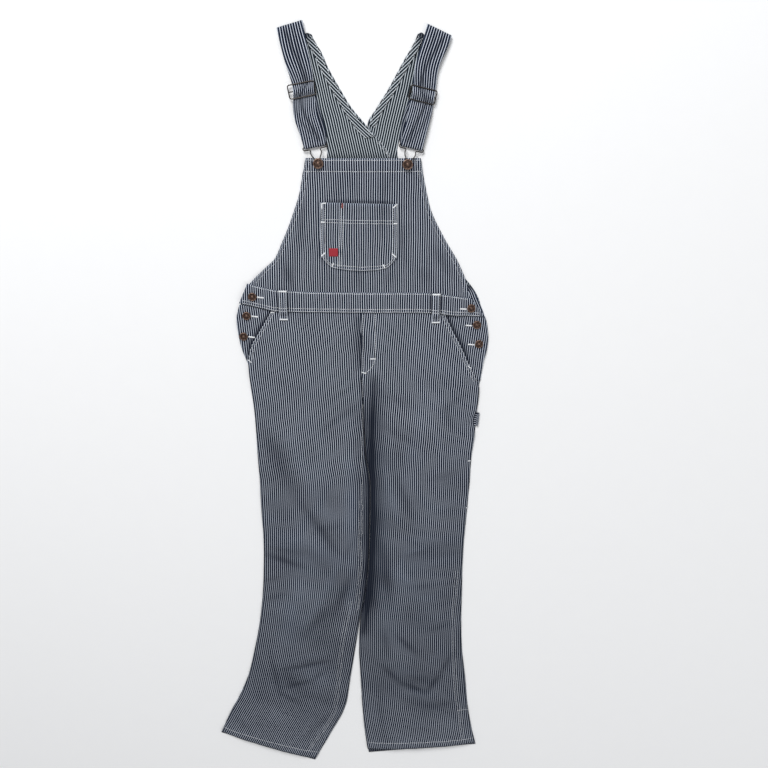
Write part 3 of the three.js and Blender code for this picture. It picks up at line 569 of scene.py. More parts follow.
class Panel:
    """A cloth panel: a run of sections from edge a to edge b, smoothed along the run."""

    def __init__(
        self,
        rows: Sequence[Row],
        folds: Sequence[Fold] = (),
        wall: Heights = lambda x, y: np.full_like(x, CLOTH),
        bend: Heights = lambda x, y: y,
        finer: Heights = lambda x, y: np.zeros_like(x),
    ) -> None:
        """Keeps the panel's table.

        Args:
            rows: Its sections.
            folds: Its folds and creases.
            wall: Gives the cloth's thickness, by place.
            bend: Where a place up the garment moves to, if the panel is bent in plan.
            finer: A last small relief, by place.
        """
        self.table = np.array(rows, float)
        self.stations = along_line((self.table[:, 0:2] + self.table[:, 2:4]) / 2)
        self.length = float(self.stations[-1])
        self.folds, self.wall, self.bend, self.finer = folds, wall, bend, finer

    def section(self, run: Array) -> Array:
        """The table's values at distances along the run, one row of seven a distance."""
        return smoothed(self.stations, self.table, run)

    def over(self, share: Array, run: Array) -> Array:
        """Places on the outer face.

        Args:
            share: How far from edge a to edge b, from 0 to 1.
            run: Distances along the run.

        Returns:
            One point a place.
        """
        n = self.section(run)
        x = n[:, 0] + (n[:, 2] - n[:, 0]) * share
        y = self.bend(x, n[:, 1] + (n[:, 3] - n[:, 1]) * share)
        dome = 1 - np.abs(2 * share - 1) ** EDGE_ROUND
        lift = n[:, 6] + sum((fold.at(x, y) for fold in self.folds), np.zeros_like(x))
        z = n[:, 4] + (n[:, 5] - n[:, 4]) * share + lift * dome
        return np.stack([x, y, z + self.wall(x, y) + self.finer(x, y)], axis=1)

    def top_at(self, x: Array, y: Union[Array, float]) -> Array:
        """Heights of the outer face where the sections run across.

        Args:
            x: Places across.
            y: Places up the garment.

        Returns:
            One height a place.
        """
        low, high = np.zeros_like(x), np.full_like(x, self.length)
        share = np.full_like(x, 0.5)
        for _ in range(22):
            middle = (low + high) / 2
            n = self.section(middle)
            share = np.clip((x - n[:, 0]) / (n[:, 2] - n[:, 0]), 0, 1)
            above = self.over(share, middle)[:, 1] > y
            low, high = np.where(above, middle, low), np.where(above, high, middle)
        return self.over(share, (low + high) / 2)[:, 2]

    def spots(self, u: Array, v: Array) -> "Spots":
        """Places from shares across and along."""
        return Spots(self, u, v)


class Spots:
    """Places on a panel.

    Attributes:
        u, v: Shares from edge a to edge b, and of the run.
        edges: Distances from edge a, edge b, the first section and the last, also by name.
        side: Distances from the nearer of edges a and b.
        points: The outer face, which a shape may change.
        x, y: Places across and up the garment, which it may not.
    """

    def __init__(self, panel: Panel, u: Array, v: Array) -> None:
        """Works the places out from shares across and along."""
        n = panel.section(v * panel.length)
        self.u, self.v = u, v
        self.width = np.hypot(n[:, 2] - n[:, 0], n[:, 3] - n[:, 1])
        self.edges = [u * self.width, (1 - u) * self.width, v * panel.length, (1 - v) * panel.length]
        self.a, self.b, self.start, self.end = self.edges
        self.side = np.minimum(self.a, self.b)
        self.points = panel.over(u, self.start)
        self.x, self.y = self.points[:, 0].copy(), self.points[:, 1].copy()

    def rolled(self, edges: Sequence[Array], drop: float, reach: float) -> Array:
        """Turns some edges down.

        Args:
            edges: Distances to each edge that turns.
            drop: How far down the very edge goes.
            reach: How far in it is felt.

        Returns:
            The points.
        """
        for distance in edges:
            self.points[:, 2] -= drop * near(distance, reach)
        return self.points


class Turns(NamedTuple):
    """Places on a ribbon: the share across, and how far along the cloth, how far out and how high they are."""

    u: Array
    run: Array
    out: Array
    z: Array


class Ribbon:
    """A strip of cloth swept along its long section, folds and all."""

    def __init__(self, path: Sequence[Sequence[float]], step: float) -> None:
        """Smooths the section.

        Args:
            path: How far out each of its points is, and how high.
            step: About how far apart its rows are.
        """
        self.line = smooth_path(path, step)
        self.steps = along_line(self.line)
        self.length = float(self.steps[-1])

    def spots(self, u: Array, v: Array) -> Turns:
        """Places from shares across and along."""
        run = v * self.length
        return Turns(u, run, *(np.interp(run, self.steps, self.line[:, k]) for k in (0, 1)))


Rule = Callable[[Union[Spots, Turns]], Array]


@dataclass
class Workshop:
    """Makes pieces, dresses them and keeps what lies under the needle."""

    finishes: Finishes
    trees: list[BVHTree] = field(default_factory=list)

    def piece(
        self, name: str, bm: bmesh.types.BMesh, material: bpy.types.Material, slot: Slot, kind: str = ""
    ) -> bpy.types.Object:
        """Turns a mesh in garment millimetres into a piece in the frame.

        Args:
            name: The piece's name, or its CAD node's where it stands for one.
            bm: Its mesh, freed here.
            material: Its finish.
            slot: The record's slot that the finish is for; not used.
            kind: What the piece is, added to the name of the CAD node that it stands for.

        Returns:
            The piece.
        """
        bmesh.ops.transform(bm, matrix=TO_FRAME, verts=bm.verts)
        title = f"{name}_{kind}" if kind else name
        mesh = bpy.data.meshes.new(title)
        for face in bm.faces:
            face.smooth = True
        bm.to_mesh(mesh)
        bm.free()
        mesh.materials.append(material)
        obj = bpy.data.objects.new(title, mesh)
        bpy.context.scene.collection.objects.link(obj)
        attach(obj, "root")
        if kind:
            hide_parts(name)
        log.info("%s: %d faces", title, len(mesh.polygons))
        return obj

    def shell(
        self,
        name: str,
        size: tuple[int, int],
        host: Union[Panel, Ribbon],
        cut: Callable[[Union[Spots, Turns]], tuple[Array, Array]],
        shape: Rule = lambda p: p.points,
        wear_and_highlight: Rule = lambda p: 0 * p.u,
        painted_shade: Rule = lambda p: 0 * p.u,
        material: Optional[bpy.types.Material] = None,
        slot: Slot = Slot.DENIM,
        wall: float = CLOTH,
        offset: float = -1.0,
    ) -> bpy.types.Object:
        """Makes a sheet of cloth from a grid.

        Args:
            name: The piece's name.
            size: Its grid's columns and rows.
            host: Where it lies.
            cut: Gives places across and along the grain, for the pattern.
            shape: Gives its points.
            wear_and_highlight: Gives how much a place is rubbed pale, from 0 to 1, and on the leg fronts also painted
                highlight along the fold ridges.
            painted_shade: Gives how much shade is painted on a place, from 0 to 1.
            material: Its finish, if not the striped cloth's face.
            slot: The record's slot.
            wall: Its thickness.
            offset: -1 where the shape is its outer face, and 0 where it is its middle.

        Returns:
            The piece.
        """
        bm = bmesh.new()
        bmesh.ops.create_grid(bm, x_segments=size[0], y_segments=size[1], size=0.5)
        flat = np.array([v.co[:2] for v in bm.verts])
        flat = (flat - flat.min(axis=0)) / (flat.max(axis=0) - flat.min(axis=0))
        spots = host.spots(flat[:, 0], 1 - flat[:, 1])
        grain = np.stack(cut(spots), axis=1)
        layers = [(bm.verts.layers.float.new(key), rule) for key, rule in (("wear_and_highlight", wear_and_highlight), ("painted_shade", painted_shade))]
        values = [(layer, rule(spots)) for layer, rule in layers]
        points = shape(spots)
        for k, vert in enumerate(bm.verts):
            vert.co = points[k]
            for layer, value in values:
                vert[layer] = float(value[k])
        uv = bm.loops.layers.uv.new("cut")
        for face in bm.faces:
            for loop in face.loops:
                loop[uv].uv = grain[loop.vert.index]
        bm.normal_update()
        if sum(face.normal.z * face.calc_area() for face in bm.faces) < 0:
            bmesh.ops.reverse_faces(bm, faces=bm.faces)
        self.trees.append(BVHTree.FromBMesh(bm))
        obj = self.piece(name, bm, material or self.finishes.denim, slot, "cloth")
        solidify = obj.modifiers.new("wall", "SOLIDIFY")
        solidify.thickness = wall * MM
        solidify.offset = offset
        return obj

    def drop(self, x: float, y: float) -> tuple[float, Vector]:
        """Finds the top of the cloth over a place.

        Args:
            x: Across.
            y: Up the garment.

        Returns:
            The height and which way the cloth faces there.
        """
        found = (0.0, Vector((0, 0, 1)))
        for tree in self.trees:
            hit, normal, _, _ = tree.ray_cast(Vector((x, y, 200)), Vector((0, 0, -1)))
            if hit is not None and hit.z > found[0]:
                found = (hit.z, normal if normal.z > 0 else -normal)
        return found


def declare(
    obj: bpy.types.Object, panel: Panel, side: float, start: float, end: float
) -> None:
    """Says what a sheet of cloth was cut to: its panel and what is turned in round it.

    Args:
        obj: The piece.
        panel: Its panel, laid flat.
        side: What is turned in at each side.
        start: What is turned in at its first section.
        end: And at its last.
    """
    width = panel.spots(np.zeros(60), np.linspace(0, 1, 60)).width + 2 * side
    area = float(np.mean(width)) * panel.length + start * width[0] + end * width[-1]
    flat = (float(width.max()) * MM, (panel.length + start + end) * MM)
    log.info("%s: cut %.0f x %.0f mm", obj.name, flat[0] * 1000, flat[1] * 1000)
    min(float(area) * MM * MM, flat[0] * flat[1])


# ---------------------------------------------------------------- tables, as in the CAD


class Side(Enum):
    """The wearer's right or left; right is towards -X."""

    RIGHT = -1
    LEFT = 1

    @property
    def word(self) -> str:
        """The side's name."""
        return self.name.lower()

    @property
    def other(self) -> "Side":
        """The opposite side."""
        return Side(-self.value)


def pair(right: object, left: object) -> dict[Side, object]:
    """Keeps what differs from side to side."""
    return {Side.RIGHT: right, Side.LEFT: left}


WAIST = [
    Row(-211, 18.5, -195.5, 52.5),
    Row(-180, 12, -172, 46.5),
    Row(-150, 5.3, -148, 42),
    Row(-90, 4, -90, 39.3),
    Row(-5, 3.3, -5, 38.3),
    Row(90, 3, 90, 37.8),
    Row(124, 1.8, 124, 36),
    Row(148, -2.2, 146, 32.2),
    Row(206, -5, 181, 27),
]
BAND_TOP = 33.0
BAND_LAP = 4.0
BAND_PULL = 60.0


def band_lift(x: Array) -> Array:
    """How far the waistband's upper edge is above its height on the centre front."""
    return np.interp(x, [row.b_x for row in WAIST], [row.b_y for row in WAIST]) - BAND_TOP


BIB = [
    Row(-92, 257.5, 93, 257.5, 2.5, 2.5, 5.6),
    Row(-96, 238, 96, 238, 1.8, 1.8, 6.2),
    Row(-97, 235, 96.5, 235, 1.6, 1.6, 6.3),
    Row(-104, 200, 104, 200, 0.8, 0.8, 7),
    Row(-113, 174, 111, 174, 0.6, 0.6, 7.4),
    Row(-123, 148, 123, 148, 0.6, 0.6, 7.6),
    Row(-135, 121, 138, 121, 0.6, 0.6, 7.7),
    Row(-148, 94, 154, 95, 0.8, 0.8, 7.6),
    Row(-165, 74, 164, 76, 2, 2, 7),
    Row(-180, 54, 172, 58, 3, 3, 6.2),
    Row(-195, 27, 180, 27, 3, 3, 5.7),
]
POCKET = [
    Row(-69, 188, 56, 185),
    Row(-69.4, 156.5, 56, 153.5),
    Row(-69.6, 154.5, 56, 151.5),
    Row(-71, 100, 55.5, 98),
    Row(-63, 90, 47, 87),
    Row(-53, 80, 38, 78.5),
]
POCKET_HEM_Y = 155.0
POCKET_BOW = 4.5
RIGHT_FRONT = [
    Row(-153, 11, -5.2, 10, 4.6, 8.7, 1.2),
    Row(-179.5, -32, -5.6, -40, 4.6, 8.8, 2.4),
    Row(-193, -55, -6, -72, 4.6, 8.6, 2.8),
    Row(-200, -80, -6, -104, 4.6, 8.2, 3),
    Row(-200.5, -104, -5.5, -126, 4.6, 7.8, 3.6),
    Row(-199, -130, -4, -152, 2.6, 7.4, 4.2),
    Row(-194.5, -185, -2, -205, 1.5, 6, 5.2),
    Row(-193, -266, 1, -266, 1.5, 4, 6.2),
    Row(-191.5, -313, 8, -313, 1.5, 2, 7.6),
    Row(-191.5, -370, 8, -370, 1.5, 1.5, 8.2),
    Row(-190, -428, 6.8, -428, 1.5, 1.5, 8.2),
    Row(-192, -488, 4.5, -488, 1.5, 1.5, 8.4),
    Row(-196.5, -548, -2, -548, 1.5, 1.5, 8.4),
    Row(-205, -611, -12, -604, 1.5, 1.5, 8.2),
    Row(-218, -675, -22, -672, 1.5, 1.5, 8.2),
    Row(-233, -735, -33, -745, 1.5, 1.5, 8.2),
    Row(-252, -782, -44, -812, 1.5, 1.5, 8.2),
    Row(-273, -824, -72, -872, 1.5, 1.5, 8),
    Row(-294, -871, -106, -939, 1.6, 1.6, 7.8),
]
LEFT_FRONT = [
    Row(-4.8, 10, 133.5, 8.5, 8.7, 4.6, 1.2),
    Row(-5, -40, 153, -33, 8.8, 4.6, 2.4),
    Row(-5.4, -72, 168.5, -62, 8.6, 4.6, 2.8),
    Row(-5.4, -104, 180, -88, 8.2, 4.6, 3),
    Row(-4.9, -128, 193, -114, 7.8, 4.4, 3.6),
    Row(-3.4, -152, 200, -132, 7.4, 3.4, 4.2),
    Row(-1.4, -205, 197.5, -185, 6, 3.3, 5.2),
    Row(0, -235, 195.5, -222, 5, 3.2, 5.7),
    Row(1.6, -266, 191, -266, 4, 1.5, 6.2),
    Row(8.6, -313, 189.5, -313, 2, 1.5, 7.6),
    Row(8.6, -370, 186.5, -370, 1.5, 1.5, 8.2),
    Row(7.4, -428, 183, -428, 1.5, 1.5, 8.2),
    Row(5.1, -488, 181.5, -488, 1.5, 1.5, 8.4),
    Row(-1.4, -548, 182, -548, 1.5, 1.5, 8.4),
    Row(-11.2, -605, 182.5, -611, 1.5, 1.5, 8.2),
    Row(-14.5, -672, 186, -675, 1.5, 1.5, 8.2),
    Row(-12, -745, 194, -740, 1.5, 1.5, 8.2),
    Row(-9, -812, 201, -807, 1.5, 1.5, 8.2),
    Row(-5, -868, 211, -865, 1.5, 1.5, 8),
    Row(0.5, -915, 219, -899, 1.6, 1.6, 7.8),
]
RIGHT_FOLDS = [
    Fold(-28, -215, -22, -585, 14, 2.6),
    Fold(-95, -130, -70, -330, 18, 1.2),
    Fold(-190, -280, -150, -400, 20, -1.3),
    Fold(-186, -424, -110, -438, 14, 1.4),
    Fold(-189, -454, -105, -464, 14, -2.2),
    Fold(-123, -426, -42, -486, 15, 1.8),
    Fold(-104, -476, -45, -522, 15, -1.5),
    Fold(-112, -484, -172, -700, 26, 2.2),
    Fold(-60, -560, -106, -690, 20, -1.4),
    Fold(-140, -700, -74, -762, 17, 1.7),
    Fold(-168, -712, -132, -776, 14, -2),
    Fold(-134, -778, -64, -798, 14, -1.8),
]
LEFT_FOLDS = [
    Fold(32, -225, 30, -600, 14, 2.2),
    Fold(60, -20, 150, -110, 20, 0.9),
    Fold(100, -130, 82, -330, 18, 1.1),
    Fold(64, -468, 160, -447, 14, -1.7),
    Fold(74, -490, 166, -472, 14, 1.2),
    Fold(20, -488, 104, -538, 15, 1.4),
    Fold(172, -562, 90, -530, 14, -1.1),
    Fold(42, -560, 62, -720, 24, 1.4),
    Fold(56, -750, 156, -739, 14, -1.8),
    Fold(60, -774, 160, -776, 14, 1.2),
    Fold(66, -799, 166, -811, 14, -1.6),
]
BIB_FOLDS = [Fold(-84, 228, -96, 90, 18, 0.9), Fold(82, 228, 104, 80, 18, 0.8)]


def flat_rows(rows: Sequence[Row]) -> list[Row]:
    """The same sections, lying on the floor."""
    return [Row(*row[:4]) for row in rows]


RIGHT_BACK = [
    Row(-213, -2.3, -5.2, -2.3),
    Row(-217, -20, -5.2, -20),
    Row(-215, -41, -5.3, -44),
    Row(-209, -66, -5.6, -72),
    *flat_rows(RIGHT_FRONT[3:-1]),
    Row(-295, -874.5, -107.5, -943),
]
LEFT_BACK = [
    Row(-4.8, -2.3, 203, -2.3),
    Row(-4.8, -20, 210, -20),
    Row(-4.9, -44, 212.5, -41),
    Row(-5.2, -72, 210, -66),
    Row(-5.4, -104, 203, -84),
    Row(-4.9, -128, 203.5, -108),
    *flat_rows(LEFT_FRONT[5:-1]),
    Row(3, -924, 220, -903.5),
]
RIGHT_UPPER = [
    Row(-119, 426, -77, 436),
    Row(-111, 408, -63, 417),
    Row(-104, 390, -54, 396),
    Row(-89, 356, -34, 361),
    Row(-77, 330, -17, 334),
    Row(-66, 303, 6.8, 306.6),
    Row(-61, 288, 21, 289.7),
    Row(-57, 268, 40, 263),
    Row(-62, 230, 50, 230),
    Row(-78, 180, 42, 180),
    Row(-106, 125, 22, 125),
    Row(-145, 85, 8, 85),
    Row(-186, 52, 0, 52),
    Row(-205, 26, -4, 26),
    Row(-212.5, -2, -5.2, -2),
]
LEFT_UPPER = [
    Row(85.5, 434, 123, 422),
    Row(71, 414.5, 114, 406),
    Row(60, 396, 105, 389),
    Row(40, 361, 88, 355),
    Row(22.5, 334, 75, 329),
    Row(7.8, 307.6, 64, 303),
    Row(22.3, 288.7, 59, 287),
    Row(41.3, 262, 55, 267),
    Row(50.5, 230, 64, 230),
    Row(42.5, 180, 80, 180),
    Row(22.5, 125, 110, 125),
    Row(8.5, 85, 146, 85),
    Row(0.5, 52, 174, 56),
    Row(-3.5, 26, 192, 30),
    Row(-4.7, -2, 202.5, -2),
]
RIGHT_FACING = [
    Row(-87.5, 435.7, -77.8, 441.5),
    Row(-74, 411.5, -64, 417),
    Row(-65, 391, -55, 395),
    Row(-45, 355, -35, 359.5),
    Row(-28, 327, -18, 333),
    Row(-13, 304, -2.5, 314),
    Row(4, 287.5, 20, 289.7),
]
LEFT_FACING = [
    Row(86, 441, 95, 436),
    Row(72, 415, 81.5, 410),
    Row(61, 396, 70, 392),
    Row(41, 361, 50, 356),
    Row(23, 334, 32, 328),
    Row(9.5, 309, 19, 303),
]
RIGHT_HIP = [
    Row(-211, 15.4, -137, 1.5, 3, 3),
    Row(-217, -8, -153, -28, 3, 3),
    Row(-216, -32, -163, -47, 3, 3),
    Row(-211, -62, -176, -68, 3, 3),
    Row(-203.5, -84, -184, -88, 3, 3),
    Row(-199, -98, -188, -98, 3, 3),
]
LEFT_HIP = [
    Row(120, -1, 206, -5.3, 3, 3),
    Row(134, -28, 210, -20, 3, 3),
    Row(147, -48, 212.5, -42, 3, 3),
    Row(159, -70, 211, -64, 3, 3),
    Row(170, -90, 206, -86, 3, 3),
    Row(177, -105, 203.6, -103, 2.7, 2.7),
    Row(185, -122, 202, -120, 2.0, 2.0),
]
STAND_WIDTH = 36.0
STAND = pair(
    [(-188, 49), (-199, 37), (-206, 22), (-213, 0), (-214.5, -20), (-212.5, -42), (-208.5, -62), (-201.5, -86)],
    [(180, 48), (187.5, 38), (192.5, 25), (203, 2), (208, -20), (210.5, -42), (209.5, -62), (204.5, -86)],
)
FRONT = pair(RIGHT_FRONT, LEFT_FRONT)
FOLDS = pair(RIGHT_FOLDS, LEFT_FOLDS)
BACK = pair(RIGHT_BACK, LEFT_BACK)
UPPER = pair(RIGHT_UPPER, LEFT_UPPER)
FACING = pair(RIGHT_FACING, LEFT_FACING)
HIP = pair(RIGHT_HIP, LEFT_HIP)
# Where each front's straight grain lies, as a share of its width, in its upper sections.
GRAIN = pair([0.3586, 0.457, 0.497, 0.515, 0.515, 0.51, 0.5], [0.743, 0.652, 0.5946, 0.5577, 0.52, 0.5])
KNOTS = pair((-82.0, 438.0), (88.0, 434.0))
BIB_BUTTONS = pair((-71.3, 249.5), (71.9, 248.0))
HIP_BUTTONS = pair([(-187.5, 30.5), (-199.4, -3.5), (-206.3, -39.9)], [(181.5, 10.5), (192.2, -19.4), (197, -53.3)])
LOOPS = pair(-136.0, 122.0)
LOOP_STAND = ([1, 8, 22, 34, 39, 45, 50], [0, 1.4, 2, 1.4, 0.9, 0.3, 0])  # how far a loop stands off, down it
# A button's head: shares of its radius, and heights above its shank.
BUTTON_HEAD = [
    (0.90, 0.15), (0.97, 0.45), (1, 0.9), (0.97, 1.45), (0.90, 1.85), (0.82, 1.8), (0.76, 1.5), (0.62, 1.42),
    (0.50, 1.5), (0.44, 1.72), (0.38, 1.72), (0.33, 1.55), (0.26, 1.9), (0.16, 2.3), (0, 2.4),
]  # fmt: skip

CREASES = pair(
    [
        # Thigh and knee.
        Fold(-12, -127, -61, -155, 7, -0.9),
        Fold(-14, -165, -76, -212, 7, -0.9),
        Fold(-183, -203, -120, -351, 16, -1.6),
        Fold(-134, -232, -57, -413, 14, 1.5),
        Fold(-120, -351, -52, -459, 8, -1.7),
        Fold(-190, -440, -123, -453, 6, 1.5),
        Fold(-193, -463, -113, -489, 6, -1.8),
        Fold(-26, -434, -41, -476, 6, -0.8),
        Fold(-18, -375, -44, -413, 6, 0.6),
        Fold(-195, -275, -162, -302, 6, 0.9),
        Fold(-194, -331, -157, -355, 6, 0.9),
        Fold(-191, -382, -157, -398, 6, 0.9),
        Fold(-36, -398, -86, -412, 8, -0.7),
        # The ragged ridge below the knee and its two valleys.
        Fold(-45, -472, -85, -563, 8, 1.9),
        Fold(-85, -563, -128, -624, 9, 1.6),
        Fold(-26, -502, -60, -590, 9, -1.5),
        Fold(-70, -577, -121, -644, 8, -1.0),
        Fold(-126, -530, -157, -653, 12, 1.1),
        Fold(-39, -559, -28, -599, 6, 0.9),
        Fold(-197, -524, -159, -511, 6, -0.9),
        Fold(-196, -568, -153, -546, 6, -0.8),
        # Shin and hem.
        Fold(-160, -700, -72, -679, 7, 1.0),
        Fold(-165, -718, -68, -697, 5, -1.5),
        Fold(-160, -760, -108, -744, 5, -1.2),
        Fold(-108, -744, -84, -721, 5, -1.0),
        Fold(-157, -780, -97, -771, 7, 1.1),
        Fold(-175, -771, -130, -800, 6, -1.2),
        Fold(-189, -676, -169, -783, 6, -1.1),
        Fold(-128, -886, -72, -826, 6, -1.0),
        Fold(-236, -771, -207, -824, 8, 0.9),
        Fold(-264, -834, -233, -868, 8, -0.7),
    ],
    [
        # Thigh, beside the dark valley, and knee.
        Fold(29, -140, 83, -170, 7, -0.8),
        Fold(34, -203, 91, -243, 7, -0.8),
        Fold(185, -140, 133, -178, 7, -0.8),
        Fold(143, -167, 152, -208, 5, -1.2),
        Fold(123, -208, 142, -275, 6, 1.2),
        Fold(55, -232, 70, -291, 6, -0.7),
        Fold(32, -287, 64, -407, 7, 1.9),
        Fold(48, -275, 86, -392, 8, -1.2),
        Fold(175, -291, 118, -310, 7, -0.8),
        Fold(173, -351, 115, -375, 7, 0.8),
        Fold(68, -427, 166, -436, 8, 1.1),
        Fold(34, -444, 45, -568, 11, -1.8),
        Fold(109, -449, 71, -461, 5, 1.5),
        Fold(71, -461, 64, -502, 5, 1.5),
        Fold(64, -502, 85, -526, 5, 1.2),
        Fold(111, -470, 173, -459, 7, -0.5),
        Fold(83, -532, 159, -528, 7, -0.7),
        Fold(87, -557, 152, -559, 8, 1.0),
        # Shin: a crease like a smile, with a soft ridge above it.
        Fold(171, -608, 113, -631, 8, -0.7),
        Fold(57, -637, 97, -681, 6, -1.6),
        Fold(34, -626, 42, -688, 6, -1.0),
        Fold(69, -718, 113, -737, 8, 1.2),
        Fold(120, -709, 143, -676, 8, 1.1),
        Fold(30, -709, 70, -752, 6, -1.5),
        Fold(70, -752, 118, -771, 6, -1.9),
        Fold(118, -771, 141, -737, 6, -1.6),
        Fold(141, -737, 167, -683, 6, -1.4),
        Fold(22, -771, 34, -881, 6, -0.7),
        Fold(178, -795, 116, -809, 8, -0.6),
        Fold(46, -848, 147, -853, 7, 0.6),
    ],
)
# The dark valley between the legs, where shade is painted: places, and how wide it is there.
VALLEY = [
    (17, -114, 6), (15, -160, 9), (12, -232, 11), (12, -310, 12), (12, -392, 12), (9, -476, 11), (4, -563, 9),
    (-5, -635, 5),
]  # fmt: skip
# How much shade is painted in the valley, down the legs.
VALLEY_RATE = ([100, 130, 170, 240, 560, 640], [0.5, 0.7, 0.85, 0.93, 0.88, 0.5])  # how dark it is, down the legs
# Painted shade that grows down the legs: distances down, and how much.
LOW_SHADE = ([100, 300, 480, 650, 740, 800, 860, 930], [0, 0.13, 0.27, 0.33, 0.36, 0.30, 0.20, 0.15])
# Painted shade along the centre front seam: places, and how wide it is there.
SEAM_SHADE = [(-9, -8, 7), (-8, -92, 8)]  # and along the centre front
# The felled inseam's ragged pale line, and the seams that show lower down.
INSEAM = [(-3, -114), (-4, -193), (-6, -271), (-6, -351), (-8, -434), (-10, -519), (-16, -586)]
LOW_INSEAM = [(-27, -563), (-38, -619), (-44, -653), (-56, -773), (-67, -831), (-119, -918)]
OUTSEAM = [(168, -498), (165, -608), (174, -773), (183, -824), (191, -893)]
# The fly's two tacks, and those at the side seams, the hammer loop and the pockets.
LEG_TACKS = [
    (15, -78.6, 10, 0, 2.8), (-0.8, -104.2, 8, -2, 2.8), (187.3, -273.6, 5, 0), (186.6, -368, 5, 0),
    (-198, -84, 6, -5), (-155.5, 2.6, 6, 0), (182, -95, 6, -5),
]  # fmt: skip
BIB_CREASES = [
    Fold(-60, 78, -48, 52, 9, -0.7),
    Fold(-10, 74, -4, 46, 9, -0.6),
    Fold(46, 78, 40, 50, 9, -0.7),
    Fold(96, 84, 110, 50, 12, -0.7),
    Fold(-118, 88, -130, 54, 12, -0.8),
    Fold(-40, 232, -38, 196, 9, -0.6),
    Fold(36, 232, 40, 200, 9, -0.5),
    Fold(-98, 185, -106, 111, 7, -1.1),
    Fold(34, 212, 32, 134, 7, -1.1),
    Fold(-135, 91, -115, 39, 7, -1.4),
    Fold(-112, 150, -124, 60, 9, 1.0),
    Fold(100, 180, 128, 70, 10, 1.0),
    Fold(118, 112, 150, 60, 8, -1.1),
    Fold(-20, 240, -16, 205, 8, -0.6),
    Fold(62, 150, 72, 84, 8, -0.9),
    Fold(-90, 120, -78, 60, 8, 0.8),
]
# Painted shadow above the pocket's mouth, and painted shade under its sides: places, and how wide each is there.
POCKET_GAP = [(-60, 189.5, 1.8), (-8, 189, 2.4), (50, 186.5, 2.4)]
POCKET_SHADE = [(58, 184, 3), (58, 100, 3), (48, 86, 3), (-8, 72, 3), (-64, 88, 3), (-72, 100, 3), (-71, 186, 3)]
POCKET_TACKS = [
    (-64, 186.2, 8, 1.5), (-67.2, 182, 0, 8), (52.0, 182.0, 7, 6), (-66, 156, 6, 0), (53, 153.5, 6, 0),
    (-66, 103, 7, 6), (-51, 85.5, 3, 6), (34, 83, 3, -6), (50.5, 101, 7, -6),
]  # fmt: skip
BACK_FOLDS = [  # for the right half; the left has them turned over
    Fold(-62, 382, -44, 352, 7, 0.9),
    Fold(-70, 350, -52, 300, 8, 0.8),
    Fold(-30, 330, -12, 296, 6, 0.7),
    Fold(-50, 286, 12, 276, 7, 0.8),
    Fold(-120, 110, -70, 70, 12, 1.4),
    Fold(-60, 180, -40, 120, 12, 1.2),
    Fold(-170, 50, -130, 20, 10, 1.2),
]


# ---------------------------------------------------------------- needlework


@dataclass
class Needlework:
    """The visible stitches of one sub-assembly, joined in one mesh."""

    shop: Workshop
    name: str
    pitch: float = 3.3
    stitch: float = 2.7
    bm: bmesh.types.BMesh = field(default_factory=bmesh.new)

    def one(self, place: Vector, along: Vector, up: Vector, length: float, thick: float) -> None:
        """Lays one stitch.

        Args:
            place: Its middle, on the cloth.
            along: Which way it runs.
            up: Which way the cloth faces.
            length: Its length.
            thick: Its radius.
        """
        x = (along - up * along.dot(up)).normalized()
        turn = Matrix((x, up.cross(x), up)).transposed().to_4x4()
        size = Matrix.Diagonal((length / 2, thick, thick, 1))
        spot = Matrix.Translation(place + up * thick * 0.35)
        bmesh.ops.create_icosphere(self.bm, subdivisions=1, radius=1.0, matrix=spot @ turn @ size)

    def line(
        self, points: Sequence[Sequence[float]], thick: float, smooth: bool = False, wander: float = 0.25
    ) -> None:
        """Sews along a line, on top of the cloth.

        Args:
            points: Places across and up the garment.
            thick: The thread's radius.
            smooth: Whether the line is a curve through its points.
            wander: How far the line strays.
        """
        path = smooth_path(points, 4.0) if smooth else np.array(points, float)
        steps = along_line(path)

        def spot(s: float) -> Array:
            """The place at a distance along the line, or its nearer end."""
            return np.array([np.interp(s, steps, path[:, k]) for k in (0, 1)])

        count = max(1, round(steps[-1] / self.pitch))
        for s in (np.arange(count) + 0.5) * steps[-1] / count:
            x, y = spot(s).tolist()
            way = Vector((*(spot(s + 1) - spot(s - 1)), 0)).normalized()
            stray = wander * float(uneven(x, y, 17.0, 0.3))
            z, up = self.shop.drop(x, y)
            self.one(Vector((x - way.y * stray, y + way.x * stray, z)), way, up, self.stitch, thick)

    def tack(self, x: float, y: float, dx: float, dy: float, width: float = 2.2) -> None:
        """Sews a bar tack: close stitches across a short line.

        Args:
            x: Its middle, across.
            y: Its middle, up the garment.
            dx: How far it runs across.
            dy: How far it runs up the garment.
            width: Its width.
        """
        length = math.hypot(dx, dy)
        way = Vector((dx, dy, 0)) / length
        side = Vector((-way.y, way.x, 0))
        count = max(3, round(length / 0.8))
        for k in range(count):
            s = (k + 0.5) / count - 0.5
            z, up = self.shop.drop(x + dx * s, y + dy * s)
            self.one(Vector((x + dx * s, y + dy * s, z + 0.15)), side + way * 0.25, up, width, 0.5)

    def done(self, material: Optional[bpy.types.Material] = None, slot: Slot = Slot.DENIM) -> None:
        """Makes the stitches a piece."""
        self.shop.piece(self.name, self.bm, material or self.shop.finishes.thread, slot)


# ---------------------------------------------------------------- legs


def hem_ripple(rows: Sequence[Row]) -> Heights:
    """The roped look of a turned hem: short slanted swells above the last section's edge.

    Args:
        rows: The panel's sections.

    Returns:
        Heights by place.
    """
    last = rows[-1]
    angle = math.atan2(last.b_y - last.a_y, last.b_x - last.a_x)

    def height(x: Array, y: Array) -> Array:
        """How far the hem stands out at a place."""
        along, above = turned(x - last.a_x, y - last.a_y, angle)
        rope = np.sin(2 * math.pi * (along + above * 0.6) / 13 + 1.3 * uneven(x, y, 40))
        return 0.22 * rope * near(above - 7, 6) + 0.8 / (1 + np.exp((above - 15) / 0.9))

    return height


